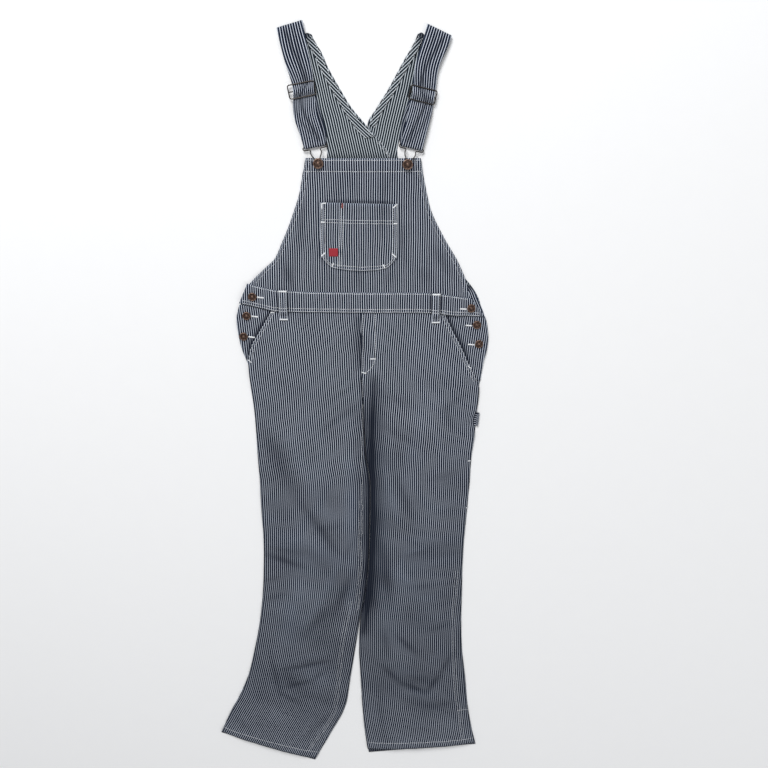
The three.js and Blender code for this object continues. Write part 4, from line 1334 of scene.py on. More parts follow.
@dataclass
class Legs:
    """The leg fronts and backs, with the facings and button stands at the hips."""

    shop: Workshop
    step: float = 3.2
    hem: float = 15.0  # depth of the turned hem
    lean: float = 0.08  # of the stripes under the waistband
    lean_depth: float = 330.0  # below which they hang straight
    fronts: dict[Side, Panel] = field(default_factory=dict)

    def build(self) -> None:
        """Makes the panels, from the floor up."""
        for side in Side:
            self.back(side)
            self.stand(side)
            self.hip(side)
            self.front(side)

    def front(self, side: Side) -> None:
        """Makes a leg front.

        Args:
            side: Which leg.
        """
        right = side is Side.RIGHT
        folds = FOLDS[side]
        ripple = hem_ripple(FRONT[side])
        panel = self.fronts[side] = Panel(
            FRONT[side],
            [*folds, *CREASES[side]],
            finer=lambda x, y: ripple(x, y)
            + (0.35 * uneven(x, y, 34) + 0.15 * uneven(x, y, 13, 0.7)) * rise(-y, 20, 100),
        )

        def shape(p: Spots) -> Array:
            """Its outer face, turned down to the seams, with the pocket's mouth standing open."""
            inner, outer = (p.b, p.a) if right else (p.a, p.b)
            closed = rise(p.y, -250, -190)  # above the crotch the fronts are sewn together
            gape = rise(p.y, -84, -68) * rise(-p.y, 4, 20)
            p.points[:, 2] += 1.3 * gape * near(outer, 8.0) - (0.3 + 0.3 * closed) * near(inner, 3.2)
            p.points[:, 2] -= 0.3 * near(outer, 3.0) * rise(-p.y, 90, 120) + 0.5 * near(p.end, 2.4)
            if not right:  # it draws in beside the hammer loop
                p.points[:, 0] -= 4.5 * near(p.y + 196, 15) * near(outer, 14)
            return p.points

        def cut(p: Spots) -> tuple[Array, Array]:
            """Stripes run down the leg, on the grain, and lean in towards the fly below the waistband."""
            grain = np.interp(p.start, panel.stations[: len(GRAIN[side])], GRAIN[side])
            down = np.clip(-p.y, 0, self.lean_depth)
            stray = self.lean * (down - down**2 / (2 * self.lean_depth))
            return (p.u - grain) * p.width + side.value * stray, -p.start

        def wear_and_highlight(p: Spots) -> Array:
            """Rubbed at the seams, the hem, the pocket's mouth and the knee, with painted highlight along the fold
            ridges.
            """
            edges = 0.4 * near(p.side, 3.0) + 0.3 * near(p.end, 3.0)
            knee = 0.3 * near(p.y + 500, 120) * near(p.u - 0.5, 0.25)
            # Painted highlight: paler along the fold ridges.
            ridges = 0.22 * relief_of(panel.folds, p.x, p.y, True)
            return np.clip(edges + knee + ridges + 0.12 * uneven(p.x, p.y, 60, 0.2), 0, 1)

        def painted_shade(p: Spots) -> Array:
            """Painted shade: where the legs meet, at the centre front, seams and hem, in troughs and down the legs."""
            edge = 0.45 * near(np.minimum(p.side, p.end), 2.6) * rise(-p.y, 90, 120)
            wide = (0.5 if right else 0.65) * trail(p.x, p.y, VALLEY, 2.1)
            valley = np.interp(-p.y, *VALLEY_RATE) * np.maximum(trail(p.x, p.y, VALLEY), wide)
            seam = 0.42 * trail(p.x, p.y, SEAM_SHADE)
            troughs = 0.20 * relief_of(CREASES[side], p.x, p.y, False) + 0.07 * relief_of(folds, p.x, p.y, False)
            swell = 0.06 * uneven(p.x, p.y, 70, 0.6)
            low = np.interp(-p.y, *LOW_SHADE)
            return np.clip(valley + seam + low + edge + np.minimum(troughs, 0.4) + swell, 0, 0.96)

        size = (round(205 / self.step), round(panel.length / self.step))
        obj = self.shop.shell(f"leg_front_{side.word}", size, panel, cut, shape, wear_and_highlight, painted_shade)
        declare(obj, panel, SEAM, SEAM, 2 * self.hem)

    def back(self, side: Side) -> None:
        """Makes a leg back, which lies on the floor.

        Args:
            side: Which leg.
        """
        # The other front's creases, turned over and moved on, all as ridges: the floor is below.
        creases = [
            Fold(-f.from_x, f.from_y - 34, -f.to_x, f.to_y - 34, f.width + 2, abs(f.height) * 0.7)
            for f in CREASES[side.other]
        ]
        panel = Panel(BACK[side], creases, finer=hem_ripple(BACK[side]))
        obj = self.shop.shell(
            f"leg_back_{side.word}",
            (48, round(panel.length / 4.2)),
            panel,
            cut=lambda p: ((p.u - 0.5) * p.width, -p.start),
            wear_and_highlight=lambda p: 0.7 * near(p.side, 3.0),
            # Painted shadow along its hem, where it shows below the front's.
            painted_shade=lambda p: (0.65 if side is Side.RIGHT else 0.85 - 0.35 * p.u) * near(p.end, 9.0),
        )
        declare(obj, panel, SEAM, SEAM, 2 * self.hem)

    def stand(self, side: Side) -> None:
        """Makes the strip under a hip's buttons.

        Args:
            side: Which hip.
        """
        wide = -side.value * STAND_WIDTH
        panel = Panel([Row(min(x, x + wide), y, max(x, x + wide), y, 1.5, 1.5) for x, y in STAND[side]])
        obj = self.shop.shell(
            f"button_stand_{side.word}",
            (14, 42),
            panel,
            cut=lambda p: (p.a, -p.start),
            wear_and_highlight=lambda p: 0.8 * near(p.side, 2.5),
            # Painted shade at its upper end.
            painted_shade=lambda p: (0.9 if side is Side.LEFT else 0.3) * near(p.start, 9),
        )
        declare(obj, panel, 4, 4, 4)

    def hip(self, side: Side) -> None:
        """Makes the facing inside a hip pocket's mouth, whose stripes lean with the side seam.

        Args:
            side: Which hip.
        """
        panel = Panel(HIP[side])
        outer, lean = (0, 0.06) if side is Side.RIGHT else (1, -0.10)
        mouth = [(*row[2 * outer : 2 * outer + 2], wide) for row, wide in zip(FRONT[side], (3.5, 6, 6.5, 3))]
        obj = self.shop.shell(
            f"hip_facing_{side.word}",
            (34, 48),
            panel,
            cut=lambda p: (p.x + lean * p.y, p.y),
            shape=lambda p: p.rolled([p.edges[outer]], 0.5, 3.0),
            wear_and_highlight=lambda p: 0.7 * near(p.edges[outer], 2.5),
            # Painted shadow just inside the pocket's mouth.
            painted_shade=lambda p: 0.92 * trail(p.x, p.y, mouth),  # dark just inside the pocket's mouth
        )
        declare(obj, panel, 4, 4, 4)

    def dress(self) -> None:
        """Sews the legs."""
        work = Needlework(self.shop, "stitching_legs")
        for side, panel in self.fronts.items():
            # Pocket mouth, two rows, on past its foot down the side seam.
            run = np.arange(4, panel.stations[3] + (4 if side is Side.RIGHT else 40), 6)
            width = panel.spots(np.zeros_like(run), run / panel.length).width
            for inset in (1.6, 6.4):
                share = inset / width if side is Side.RIGHT else 1 - inset / width
                work.line(panel.over(share, run)[:, :2], 0.34)
            # Hem, one row.
            work.line(panel.over(np.linspace(0.01, 0.99, 24), np.full(24, panel.length - 14.5))[:, :2], 0.38)
        # The felled inseam, worn ragged, and the seams that show lower down.
        work.line(INSEAM[:4], 0.30, True, 1.1)
        work.line(INSEAM[3:], 0.34, True, 1.5)
        work.line([(x - 5, y) for x, y in INSEAM[3:]], 0.24, True, 1.2)
        for aside, thick in ((0, 0.25), (5.5, 0.2)):
            work.line([(x - aside, y) for x, y in LOW_INSEAM], thick, True)
            work.line([(x + aside, y) for x, y in OUTSEAM], thick, True)
        work.line([(180, -817), (202, -817)], 0.36)
        # Centre front: the seam's stitching on the wearer's left, and the fly's curve.
        work.line([(-1.6, 0), (-1.9, -60), (-2.2, -104)], 0.35)
        work.line([(19, 0), (19, -40), (18.5, -78), (14, -92), (6, -101), (-2, -105)], 0.42, True)
        for tack in LEG_TACKS:
            work.tack(*tack)
        work.done()


# ---------------------------------------------------------------- bib and waistband


@dataclass
class Bib:
    """The bib with its pocket and label, the waistband and the belt loops."""

    shop: Workshop
    legs: Legs
    step: float = 3.0
    hem: float = 21.0  # depth of its turned top
    top: float = 257.5
    loop_width: float = 13.0
    loop_length: float = 53.0

    def __post_init__(self) -> None:
        """Sets out the bib."""
        self.panel = Panel(
            BIB,
            [*BIB_FOLDS, *BIB_CREASES],
            wall=lambda x, y: np.where(y > self.top - self.hem, HEM, CLOTH),
            bend=lambda x, y: y + band_lift(x) * rise(y, BAND_TOP + BAND_PULL, BAND_TOP),
            finer=lambda x, y: 0.3 * uneven(x, y, 30, 0.4) + 0.12 * uneven(x, y, 11, 0.9),
        )

    def under_band(self, x: Array) -> Array:
        """The height that the waistband lies on, across the front."""
        right, left = (self.legs.fronts[side].top_at(x, 0.0) for side in Side)
        leg = np.where(x < -5, right, left) * ((x > -150) & (x < 136))
        bib = self.panel.top_at(x, BAND_TOP - BAND_LAP + band_lift(x))
        return np.maximum(np.maximum(bib, leg), HIP_FACE)

    def seat(self, side: Side) -> float:
        """The bib's height under a bib button."""
        x, y = BIB_BUTTONS[side]
        return float(np.max(self.panel.top_at(np.array([x - 9, x, x + 9]), y)))

    def build(self) -> None:
        """Makes the pieces."""
        self.front()
        self.pocket()
        self.label()
        self.band()
        for side, x in LOOPS.items():
            self.loop(side, x)

    def front(self) -> None:
        """Makes the bib."""
        panel = self.panel

        def painted_shade(p: Spots) -> Array:
            """Painted shade in the creases, above the pocket's mouth and under its sides."""
            shade = 0.6 * trail(p.x, p.y, POCKET_GAP) + 0.35 * trail(p.x, p.y, POCKET_SHADE)
            creases = 0.24 * relief_of(BIB_CREASES, p.x, p.y, False)
            return np.clip(shade + creases + 0.05 * uneven(p.x, p.y, 50, 0.3), 0, 0.95)

        obj = self.shop.shell(
            "bib_front",
            (round(330 / self.step), round(panel.length / self.step)),
            panel,
            cut=lambda p: (p.x + 0.008 * p.y, p.y),
            shape=lambda p: p.rolled(p.edges[:3], 0.5, 2.6),
            wear_and_highlight=lambda p: 0.7 * near(np.minimum(p.side, p.start), 2.6),
            painted_shade=painted_shade,
        )
        declare(obj, panel, SEAM, self.hem + 6, SEAM)

    def on_pocket(self, y: Array) -> Array:
        """How far the pocket's outer face is above the bib's: more in its turned mouth."""
        return GAP + np.where(y > POCKET_HEM_Y, HEM, CLOTH)

    def on_bib(self, lift: Heights) -> Rule:
        """Lays a flat piece on the bib.

        Args:
            lift: Its outer face above the bib's, by place.

        Returns:
            Its shape.
        """

        def shape(p: Spots) -> Array:
            """The piece's outer face."""
            p.points[:, 2] = self.panel.top_at(p.x, p.y) + lift(p.x, p.y) + 0.25 * uneven(p.x, p.y, 24, 1.4)
            return p.rolled(p.edges, 0.35, 2.0)

        return shape

    def pocket(self) -> None:
        """Makes the bib pocket, a little open at its mouth."""
        plan = Panel(
            POCKET,
            bend=lambda x, y: y - POCKET_BOW * np.maximum(0, 1 - ((x + 8) / 48) ** 2) * rise(y, 100, 80),
        )
        obj = self.shop.shell(
            "bib_pocket",
            (52, 46),
            plan,
            cut=lambda p: (p.x + 1.3 - 0.012 * p.y, p.y),  # out of step with the bib's
            shape=self.on_bib(lambda x, y: self.on_pocket(y) + 1.3 * near(y - 186, 14) * near(x + 6, 45)),
            wear_and_highlight=lambda p: np.clip(0.6 * near(np.minimum(p.side, p.end), 2.2) + 0.8 * near(p.start, 2.5), 0, 1),
            # Painted shade in the creases' troughs.
            painted_shade=lambda p: np.clip(0.24 * relief_of(BIB_CREASES, p.x, p.y, False), 0, 0.9),
        )
        declare(obj, plan, 5, 20, 5)

    def label(self) -> None:
        """Makes the small red label, bare."""
        plan = Panel([Row(-57, 113, -42, 113), Row(-57, 99.5, -42, 99.5)])
        obj = self.shop.shell(
            "pocket_label",
            (10, 9),
            plan,
            cut=lambda p: (p.a, p.start),
            shape=self.on_bib(lambda x, y: self.on_pocket(y) + GAP + 0.8),
            material=self.shop.finishes.label,
            slot=Slot.LABEL,
            wall=0.8,
        )
        declare(obj, plan, 1, 0.8, 0.8)

    def band(self) -> None:
        """Makes the front waistband."""
        plan = Panel(WAIST)

        def shape(p: Spots) -> Array:
            """The band's outer face."""
            swell = 0.25 * uneven(p.x, p.y, 26, 2.1) * rise(np.abs(p.y - 16), 30, 0)
            p.points[:, 2] = self.under_band(p.x) + GAP + HEM + swell
            return p.rolled(p.edges, 0.6, 2.0)

        def painted_shade(p: Spots) -> Array:
            """Painted shadow beside the belt loops."""
            return 0.88 * np.maximum(*(near(np.abs(p.x - x) - self.loop_width / 2 - 0.9, 2.2) for x in LOOPS.values()))

        obj = self.shop.shell(
            "waistband_front",
            (14, 200),
            plan,
            cut=lambda p: (p.x + 2.1, p.y),
            shape=shape,
            wear_and_highlight=lambda p: 0.75 * near(np.min(p.edges, axis=0), 2.0),
            painted_shade=painted_shade,
            wall=HEM,
        )
        declare(obj, plan, 4, 6, 6)

    def loop(self, side: Side, x: float) -> None:
        """Makes a belt loop.

        Args:
            side: Which one.
            x: Where it is sewn.
        """
        top = BAND_TOP + float(band_lift(x))
        half, low = self.loop_width / 2, top + 1 - self.loop_length

        def shape(p: Spots) -> Array:
            """The loop's outer face, standing off the band between its tacks."""
            band = rise(p.y, top - 44, top - 38)
            leg = self.legs.fronts[side].top_at(p.x, p.y)
            host = leg * (1 - band) + (self.under_band(p.x) + GAP + HEM) * band
            stand = np.interp(top - p.y, *LOOP_STAND)
            p.points[:, 2] = host + GAP + stand + 1.35 + 0.3 * (1 - (2 * p.u - 1) ** 2)
            return p.points

        obj = self.shop.shell(
            f"belt_loop_{side.word}",
            (8, 30),
            Panel([Row(x - half, y, x + half, y) for y in (top + 1, low)]),
            cut=lambda p: (p.a + 0.6, -p.start),
            shape=shape,
            wear_and_highlight=lambda p: 0.4 * near(p.side, 2.0),
            wall=1.5,
        )

    def dress(self) -> None:
        """Sews the bib, its pocket, the band and the loops."""
        work = Needlework(self.shop, "stitching_bib")
        panel = self.panel
        for y in (254.2, 236.6):  # its turned top
            row = panel.section(np.full(30, self.top - y))
            x = row[:, 0] + (row[:, 2] - row[:, 0]) * np.linspace(0.012, 0.988, 30)
            work.line([(k, y) for k in x], 0.46)
        # Two rows down each side of the bib.
        n = panel.section(np.arange(2.0, 222.0, 12.0))
        for inset in (2.0, 7.6):
            for x, y in ((n[:, 0] + inset, n[:, 1]), (n[:, 2] - inset, n[:, 3])):
                work.line(np.stack([x, panel.bend(x, y)], axis=1), 0.25)
        # Pocket: two rows round it, two under its mouth, the pencil slot.
        for k in (1.8, 7.2):
            outline = [
                (-69 + k, 187 - k), (-69.5 + k, 155), (-71 + k, 101 - k * 0.4), (-63 + k * 0.7, 90.2),
                (-53 + k * 0.2, 80.6 + k * 0.75), (-30, 76.2 + k), (-8, 74.5 + k), (18, 75.2 + k),
                (38 - k * 0.2, 79 + k * 0.75), (47 - k * 0.7, 87.5), (55.5 - k, 99 - k * 0.4), (56 - k, 152),
                (56 - k, 184 - k),
            ]
            work.line(outline, 0.42)
        for y in (159.4, 154.5):
            work.line([(-67, y + 1), (54, y - 1.6)], 0.40)
        for aside in (0, 4.2):
            work.line([(-35 + aside, 184), (-37.5 + aside, 150), (-41.5 + aside, 82)], 0.40)
        for tack in POCKET_TACKS:
            work.tack(*tack, 2.8)
        # Band: one row under its top edge, two on its lower edge.
        xs = np.linspace(-205, 196, 60)
        low = np.interp(xs, [row.a_x for row in WAIST], [row.a_y for row in WAIST])
        upper = np.stack([xs, BAND_TOP + band_lift(xs) - 2.2], axis=1)
        work.line(upper[(xs > -192) & (xs < 178)], 0.46)
        for up in (1.6, 6.4):
            work.line(np.stack([xs, low + up], axis=1), 0.48)
        # Loops: a row down each edge and a tack at each end.
        for x in LOOPS.values():
            edge = BAND_TOP + float(band_lift(x))
            for aside in (-4.6, 4.6):
                work.line([(x + aside, edge - 2), (x + aside, edge - 50)], 0.30)
            for down in (0.8, 50.2):
                work.tack(x, edge - down, 13.5, 0, 3.4)
        work.done()
        red = Needlework(self.shop, "stitching_red")
        red.tack(-33.6, 182.6, 0.6, 8, 5.0)
        red.done(self.shop.finishes.rust, Slot.LABEL)


# ---------------------------------------------------------------- upper back


@dataclass
class Back:
    """The upper back, seen from inside above the bib, with its neck facings."""

    shop: Workshop
    lean: float = math.radians(13)  # of the stripes, in towards the middle seam
    facing_lean: float = math.radians(47)  # so that the two facings make a chevron

    def build(self) -> None:
        """Makes both halves and their facings."""
        for side in Side:
            self.half(side)
            self.facing(side)

    def knot(self, side: Side, x: Array, y: Array) -> Array:
        """How near places are to where a shoulder is bunched and sewn to its strap, from 0 to 1."""
        knot_x, knot_y = KNOTS[side]
        return trail(x, y, [(knot_x + 14 * side.value, knot_y + 2, 12), (knot_x, knot_y + 9, 9)])

    def half(self, side: Side) -> None:
        """Makes one half of the back.

        Args:
            side: Which half.
        """
        knot_x, knot_y = KNOTS[side]
        out = -side.value
        panel = Panel(
            UPPER[side],
            [Fold(out * f.from_x, f.from_y, out * f.to_x, f.to_y, f.width, f.height) for f in BACK_FOLDS],
            bend=lambda x, y: y + 13.5 * near(x - knot_x + 6 * out, 12) * rise(y, knot_y - 12, knot_y - 2),
            finer=lambda x, y: 1.6 * near(np.hypot(x - knot_x, y - knot_y), 6),
        )
        obj = self.shop.shell(
            f"back_upper_{side.word}",
            (40, 110),
            panel,
            cut=lambda p: turned(p.x, p.y, self.lean * out),
            wear_and_highlight=lambda p: 0.5 * near(p.side, 2.2) * rise(p.start, 0, 20),
            # Painted shade at the bunched shoulder; darker below the height of the bib's top.
            painted_shade=lambda p: np.clip(self.knot(side, p.x, p.y) + 0.25 * rise(p.y, 266, 258), 0, 0.97),
            material=self.shop.finishes.inside,
            slot=Slot.INSIDE,
        )
        declare(obj, panel, SEAM, SEAM, SEAM)

    def facing(self, side: Side) -> None:
        """Makes a neck facing, cut on the bias, on the back's inside.

        Args:
            side: Which one.
        """
        plan = Panel(FACING[side])
        knot_x, knot_y = KNOTS[side]

        def shape(p: Spots) -> Array:
            """The facing's outer face."""
            bunch = 1.7 * near(np.hypot(p.x - knot_x, p.y - knot_y), 6.5)
            p.points[:, 2] = CLOTH + GAP + 0.9 + 0.12 * uneven(p.x, p.y, 12, 1.1) + bunch
            return p.rolled(p.edges[:2], 0.3, 1.6)

        obj = self.shop.shell(
            f"neck_facing_{side.word}",
            (8, 50),
            plan,
            cut=lambda p: turned(p.x, p.y, -side.value * self.facing_lean),
            shape=shape,
            # Painted shade at the bunched shoulder.
            painted_shade=lambda p: 0.95 * self.knot(side, p.x, p.y),
            material=self.shop.finishes.inside,
            slot=Slot.INSIDE,
            wall=0.9,
        )
        declare(obj, plan, 1.2, 3, 3)

    def dress(self) -> None:
        """Sews the facings' edges and the middle seam."""
        work = Needlework(self.shop, "stitching_back")
        for rows in FACING.values():
            for share in (0.16, 0.84):
                line = [(r.a_x + (r.b_x - r.a_x) * share, r.a_y + (r.b_y - r.a_y) * share) for r in rows]
                work.line(line, 0.36, True)
        for aside in (-2.4, 2.4):
            work.line([(24 + aside, 284), (41 + aside, 262.6)], 0.36)
        work.done()


# ---------------------------------------------------------------- straps


@dataclass
class Strap:
    """One strap with its slider and hook, laid over the shoulder and down to the bib's button."""

    shop: Workshop
    side: Side
    top: tuple[float, float]
    skew: float
    higher: tuple[float, float]  # how much the two ends of its top fold are moved up
    seat: float  # height of the bib under the button
    top_width: float = 41.0
    end_width: float = 35.0
    tail: float = 40.0
    slider_width: float = 42.0
    slider_height: float = 21.0
    slider_down: float = 94.0
    slider_corner: float = 3.0
    slider_aside: float = -2.2
    hook_reach: float = 27.5
    hook_eye: float = 19.5
    hook_rises: float = 14.0
    fold: float = 1.9  # radius of the top fold
    woven: float = 38.0  # width of the webbing, flat
    ply_step: float = 1.3  # above the middle of the lower ply, where the upper one begins

    def __post_init__(self) -> None:
        """Works out where the strap runs."""
        (x, y), (button_x, button_y) = self.top, BIB_BUTTONS[self.side]
        far = math.hypot(button_x - x, button_y - y)
        self.length = far - self.hook_reach
        self.down = ((button_x - x) / far, (button_y - y) / far)
        self.low_ply = CLOTH + GAP + STRAP_CLOTH / 2
        self.turn = WIRE + GAP + STRAP_CLOTH / 2
        self.bar_z = self.low_ply + self.turn
        self.slider_z = self.low_ply + STRAP_CLOTH + GAP + self.turn

    def on(self, across: Array, down: Array, z: Array, skewed: bool = True) -> Array:
        """Turns places on the strap into places on the garment.

        Args:
            across: Places across the strap.
            down: Distances down it from its top fold.
            z: Heights.
            skewed: Whether the places go with the fold, which is out of square.

        Returns:
            One point a place.
        """
        dx, dy = self.down
        along = down - across * self.skew * np.maximum(0, 1 - down / self.slider_down) * skewed
        x = self.top[0] - across * dy + along * dx
        y = self.top[1] + across * dx + along * dy
        return np.stack([x, y, z + 0 * x], axis=1)

    def path(self) -> list[tuple[float, float]]:
        """The strap's long section: places down it and heights.

        Returns:
            One pair a point.
        """

        def arc(at: float, start: float, end: float, side: int, radius: float, centre: float) -> list:
            """A bend in six steps."""
            angles = [math.pi * (start + (end - start) * k / 6) for k in range(7)]
            return [(at + side * radius * math.sin(a), centre - radius * math.cos(a)) for a in angles]

        low, turn, mid, half, end = self.low_ply, self.turn, self.slider_down, self.slider_height / 2, self.length
        front, hook, over = low + 2 * self.fold, low + 2 * turn, self.slider_z
        return [
            (self.tail, low), (24, low), (12, low),
            *arc(self.fold + STRAP_CLOTH / 2, 0, 1, -1, self.fold, low + self.fold),
            (14, front), (mid * 0.45, front + 0.4), (mid - half - 16, front - 0.4),
            (mid - half - 4, over - turn), (mid - half + 1, over - turn),
            (mid - 3, over + turn - 0.4), (mid, over + turn), (mid + 3, over + turn - 0.4),
            (mid + half - 1, over - turn), (mid + half + 4, over - turn),
            (mid + half + 20, hook - 0.4), (end - 24, hook + 0.6), (end - 8, hook),
            *arc(end, 1, 0, 1, turn, self.bar_z),
            (end - 8, low), (end - 24, low), (mid + half + 12, low), (mid + half - 2, low),
            (mid + 2, low + 1), (mid - 3, low + 1.2),
        ]  # fmt: skip

    def build(self) -> None:
        """Makes the strap and its metal."""
        self.webbing()
        self.slider()
        self.hook()

    def edges(self, down: Array) -> tuple[Array, Array]:
        """How the strap strays sideways, narrows and draws in along its run.

        Args:
            down: Distances down it.

        Returns:
            How far it strays, and its width.
        """
        right = self.side is Side.RIGHT
        bulge, reach = (130.0, 28.0) if right else (58.0, 30.0)
        slim = near(down - (80.0 if right else 45.0), 30)
        pinch = 1 - 0.07 * near(down - self.slider_down, 12) - 0.08 * slim
        width = self.top_width + (self.end_width - self.top_width) * rise(down, 0, self.length)
        return -4.5 * near(down - bulge, reach) + (2.0 if right else -1.8) * slim, width * pinch

    def gutter(self, p: Turns) -> Array:
        """The soft trough that wanders along the strap's upper ply, above the slider and again below it.

        Args:
            p: Places on the strap.

        Returns:
            1 in the trough, falling to 0.
        """
        mid, left = self.slider_down, self.side.value
        middle = np.interp(p.out, [0, mid - 8, mid + 8, self.length], [0.24, 0.72, 0.30, 0.80])
        off = p.u - 0.5 + (middle - 0.5) * left
        ends = rise(p.out, 0, 12) * rise(p.out, self.length, self.length - 10) * (p.z > self.low_ply + self.ply_step)
        return ends * np.maximum(near(off, 0.06), 0.6 * near(off + 0.3 * left * np.cos(p.out / 40), 0.05))

    def webbing(self) -> None:
        """Makes the strap's cloth."""
        ribbon = Ribbon(self.path(), 3.0)
        bend = float(ribbon.steps[int(np.argmax(ribbon.line[:, 0]))])

        def shape(p: Turns) -> Array:
            """The strap's middle surface."""
            side = p.u - 0.5
            stray, width = self.edges(p.out)
            under = rise(p.run, bend, ribbon.length)  # the ply that goes back up, a little askew
            askew = -self.side.value * 6 * np.sin(math.pi * np.clip(under * 1.15, 0, 1)) ** 0.6
            z = p.z - 0.8 * self.gutter(p) + 0.25 * uneven(p.out, side * 40, 22, 0.5)
            down = p.out - np.interp(p.u, [0, 1], self.higher) * rise(p.out, 50, 0)
            return self.on(side * width + askew + stray, down, z)

        def cut(p: Turns) -> tuple[Array, Array]:
            """Stripes run down the strap, and sway where it has been pulled out of square."""
            side = p.u - 0.5
            return side * self.woven + 1.9 * np.sin(p.run / 31) + side * 3.4 * np.sin(p.run / 23 + 1), p.run

        def painted_shade(p: Turns) -> Array:
            """Painted shade in the gutter along it, on its lower ply and beside the slider."""
            beside = near(np.abs(p.out - self.slider_down) - self.slider_height / 2 - 2, 3)
            slider = 0.5 * beside * (p.z > self.low_ply + 2)
            return np.clip(0.78 * self.gutter(p) + 0.35 * (p.z < self.low_ply + self.ply_step) + slider, 0, 0.9)

        obj = self.shop.shell(
            f"strap_{self.side.word}",
            (14, len(ribbon.line) - 1),
            ribbon,
            cut,
            shape,
            wear_and_highlight=lambda p: 0.7 * near(np.minimum(p.u, 1 - p.u) * self.woven, 2.2),
            painted_shade=painted_shade,
            material=self.shop.finishes.webbing,
            wall=STRAP_CLOTH,
            offset=0.0,
        )

    def wire(self, name: str, parts: Sequence[tuple[Array, bool]]) -> None:
        """Makes bent wire.

        Args:
            name: The piece's name.
            parts: Lines of points on the garment, each with whether it is a closed ring.
        """
        curve = bpy.data.curves.new(name, "CURVE")
        curve.dimensions = "3D"
        curve.bevel_depth = WIRE * 0.9 * MM
        curve.bevel_resolution = 4
        curve.use_fill_caps = True
        for points, ring in parts:
            spline = curve.splines.new("POLY")
            spline.use_cyclic_u = ring
            spline.points.add(len(points) - 1)
            for point, place in zip(spline.points, points):
                point.co = (*to_frame(*place), 1.0)
        holder = bpy.data.objects.new(name, curve)
        bpy.context.scene.collection.objects.link(holder)
        bpy.context.view_layer.update()
        mesh = bpy.data.meshes.new_from_object(holder.evaluated_get(bpy.context.evaluated_depsgraph_get()))
        bpy.data.objects.remove(holder)
        mesh.name = name
        bm = bmesh.new()
        bm.from_mesh(mesh)
        bmesh.ops.remove_doubles(bm, verts=bm.verts, dist=1e-6)
        bmesh.ops.recalc_face_normals(bm, faces=bm.faces)
        rub = bm.verts.layers.float.new("wear_and_highlight")
        top = max(v.co.z for v in bm.verts)
        for vert in bm.verts:
            vert[rub] = max(0.0, 1 - (top - vert.co.z) / (1.2 * MM)) * 0.6
        bmesh.ops.transform(bm, matrix=TO_FRAME.inverted(), verts=bm.verts)
        self.shop.piece(name, bm, self.shop.finishes.wire, Slot.WIRE, "wire")

    def slider(self) -> None:
        """Makes the slider: a rounded wire frame with a bar across its middle."""
        w, h, r = self.slider_width / 2, self.slider_height / 2, self.slider_corner
        corners = [(w - r, h - r, 0), (r - w, h - r, 90), (r - w, r - h, 180), (w - r, r - h, 270)]
        turns = [(x, y, math.radians(start + a)) for x, y, start in corners for a in range(0, 91, 15)]
        ring = np.array([(x + r * math.cos(a), y + r * math.sin(a)) for x, y, a in turns])
        lines = [
            (self.on(line[:, 0] + self.slider_aside, self.slider_down + line[:, 1], self.slider_z, False), closed)
            for line, closed in ((ring, True), (np.array([(-w, 0.0), (w, 0.0)]), False))
        ]
        self.wire(f"slider_{self.side.word}", lines)

    def hook(self) -> None:
        """Makes the hook that holds the bib button's shank."""
        reach, eye = self.hook_reach, self.hook_eye
        half = [
            (0.0, 0), (10, 0), (17.6, 0), (18.9, 0.3), (19.7, 1.7), (19.3, 3.4), (17.6, 4.5), (12.5, 4.7), (9, 5.3),
            (8, 6.6), (eye / 2 - WIRE, 10), (7.6, 14.2), (5.2, 18.4), (3.9, 22.5), (3.4, reach), (2.6, reach + 2.6),
        ]  # fmt: skip
        outline = half + [(0.0, reach + 3.7)] + [(-x, d) for x, d in reversed(half[1:])]
        line = smooth_path(outline + [(0.0, 0.0)], 1.2)
        z = self.bar_z + (self.seat + GAP + WIRE - self.bar_z) * rise(line[:, 1], 3, self.hook_rises)
        points = self.on(line[:, 0], self.length + line[:, 1], z, False)
        self.wire(f"hook_{self.side.word}", [(points[:-1], True)])

    def dress(self, work: Needlework) -> None:
        """Sews the strap's edges where they show.

        Args:
            work: The straps' stitches.
        """
        for aside in (-0.43, 0.43):
            for start, end in ((2, self.slider_down - 13), (self.slider_down + 13, self.length - 3)):
                down = np.arange(start, end, 8.0)
                stray, width = self.edges(down)
                work.line(self.on(aside * width + stray, down, 0.0)[:, :2], 0.32)


# ---------------------------------------------------------------- buttons and the hammer loop


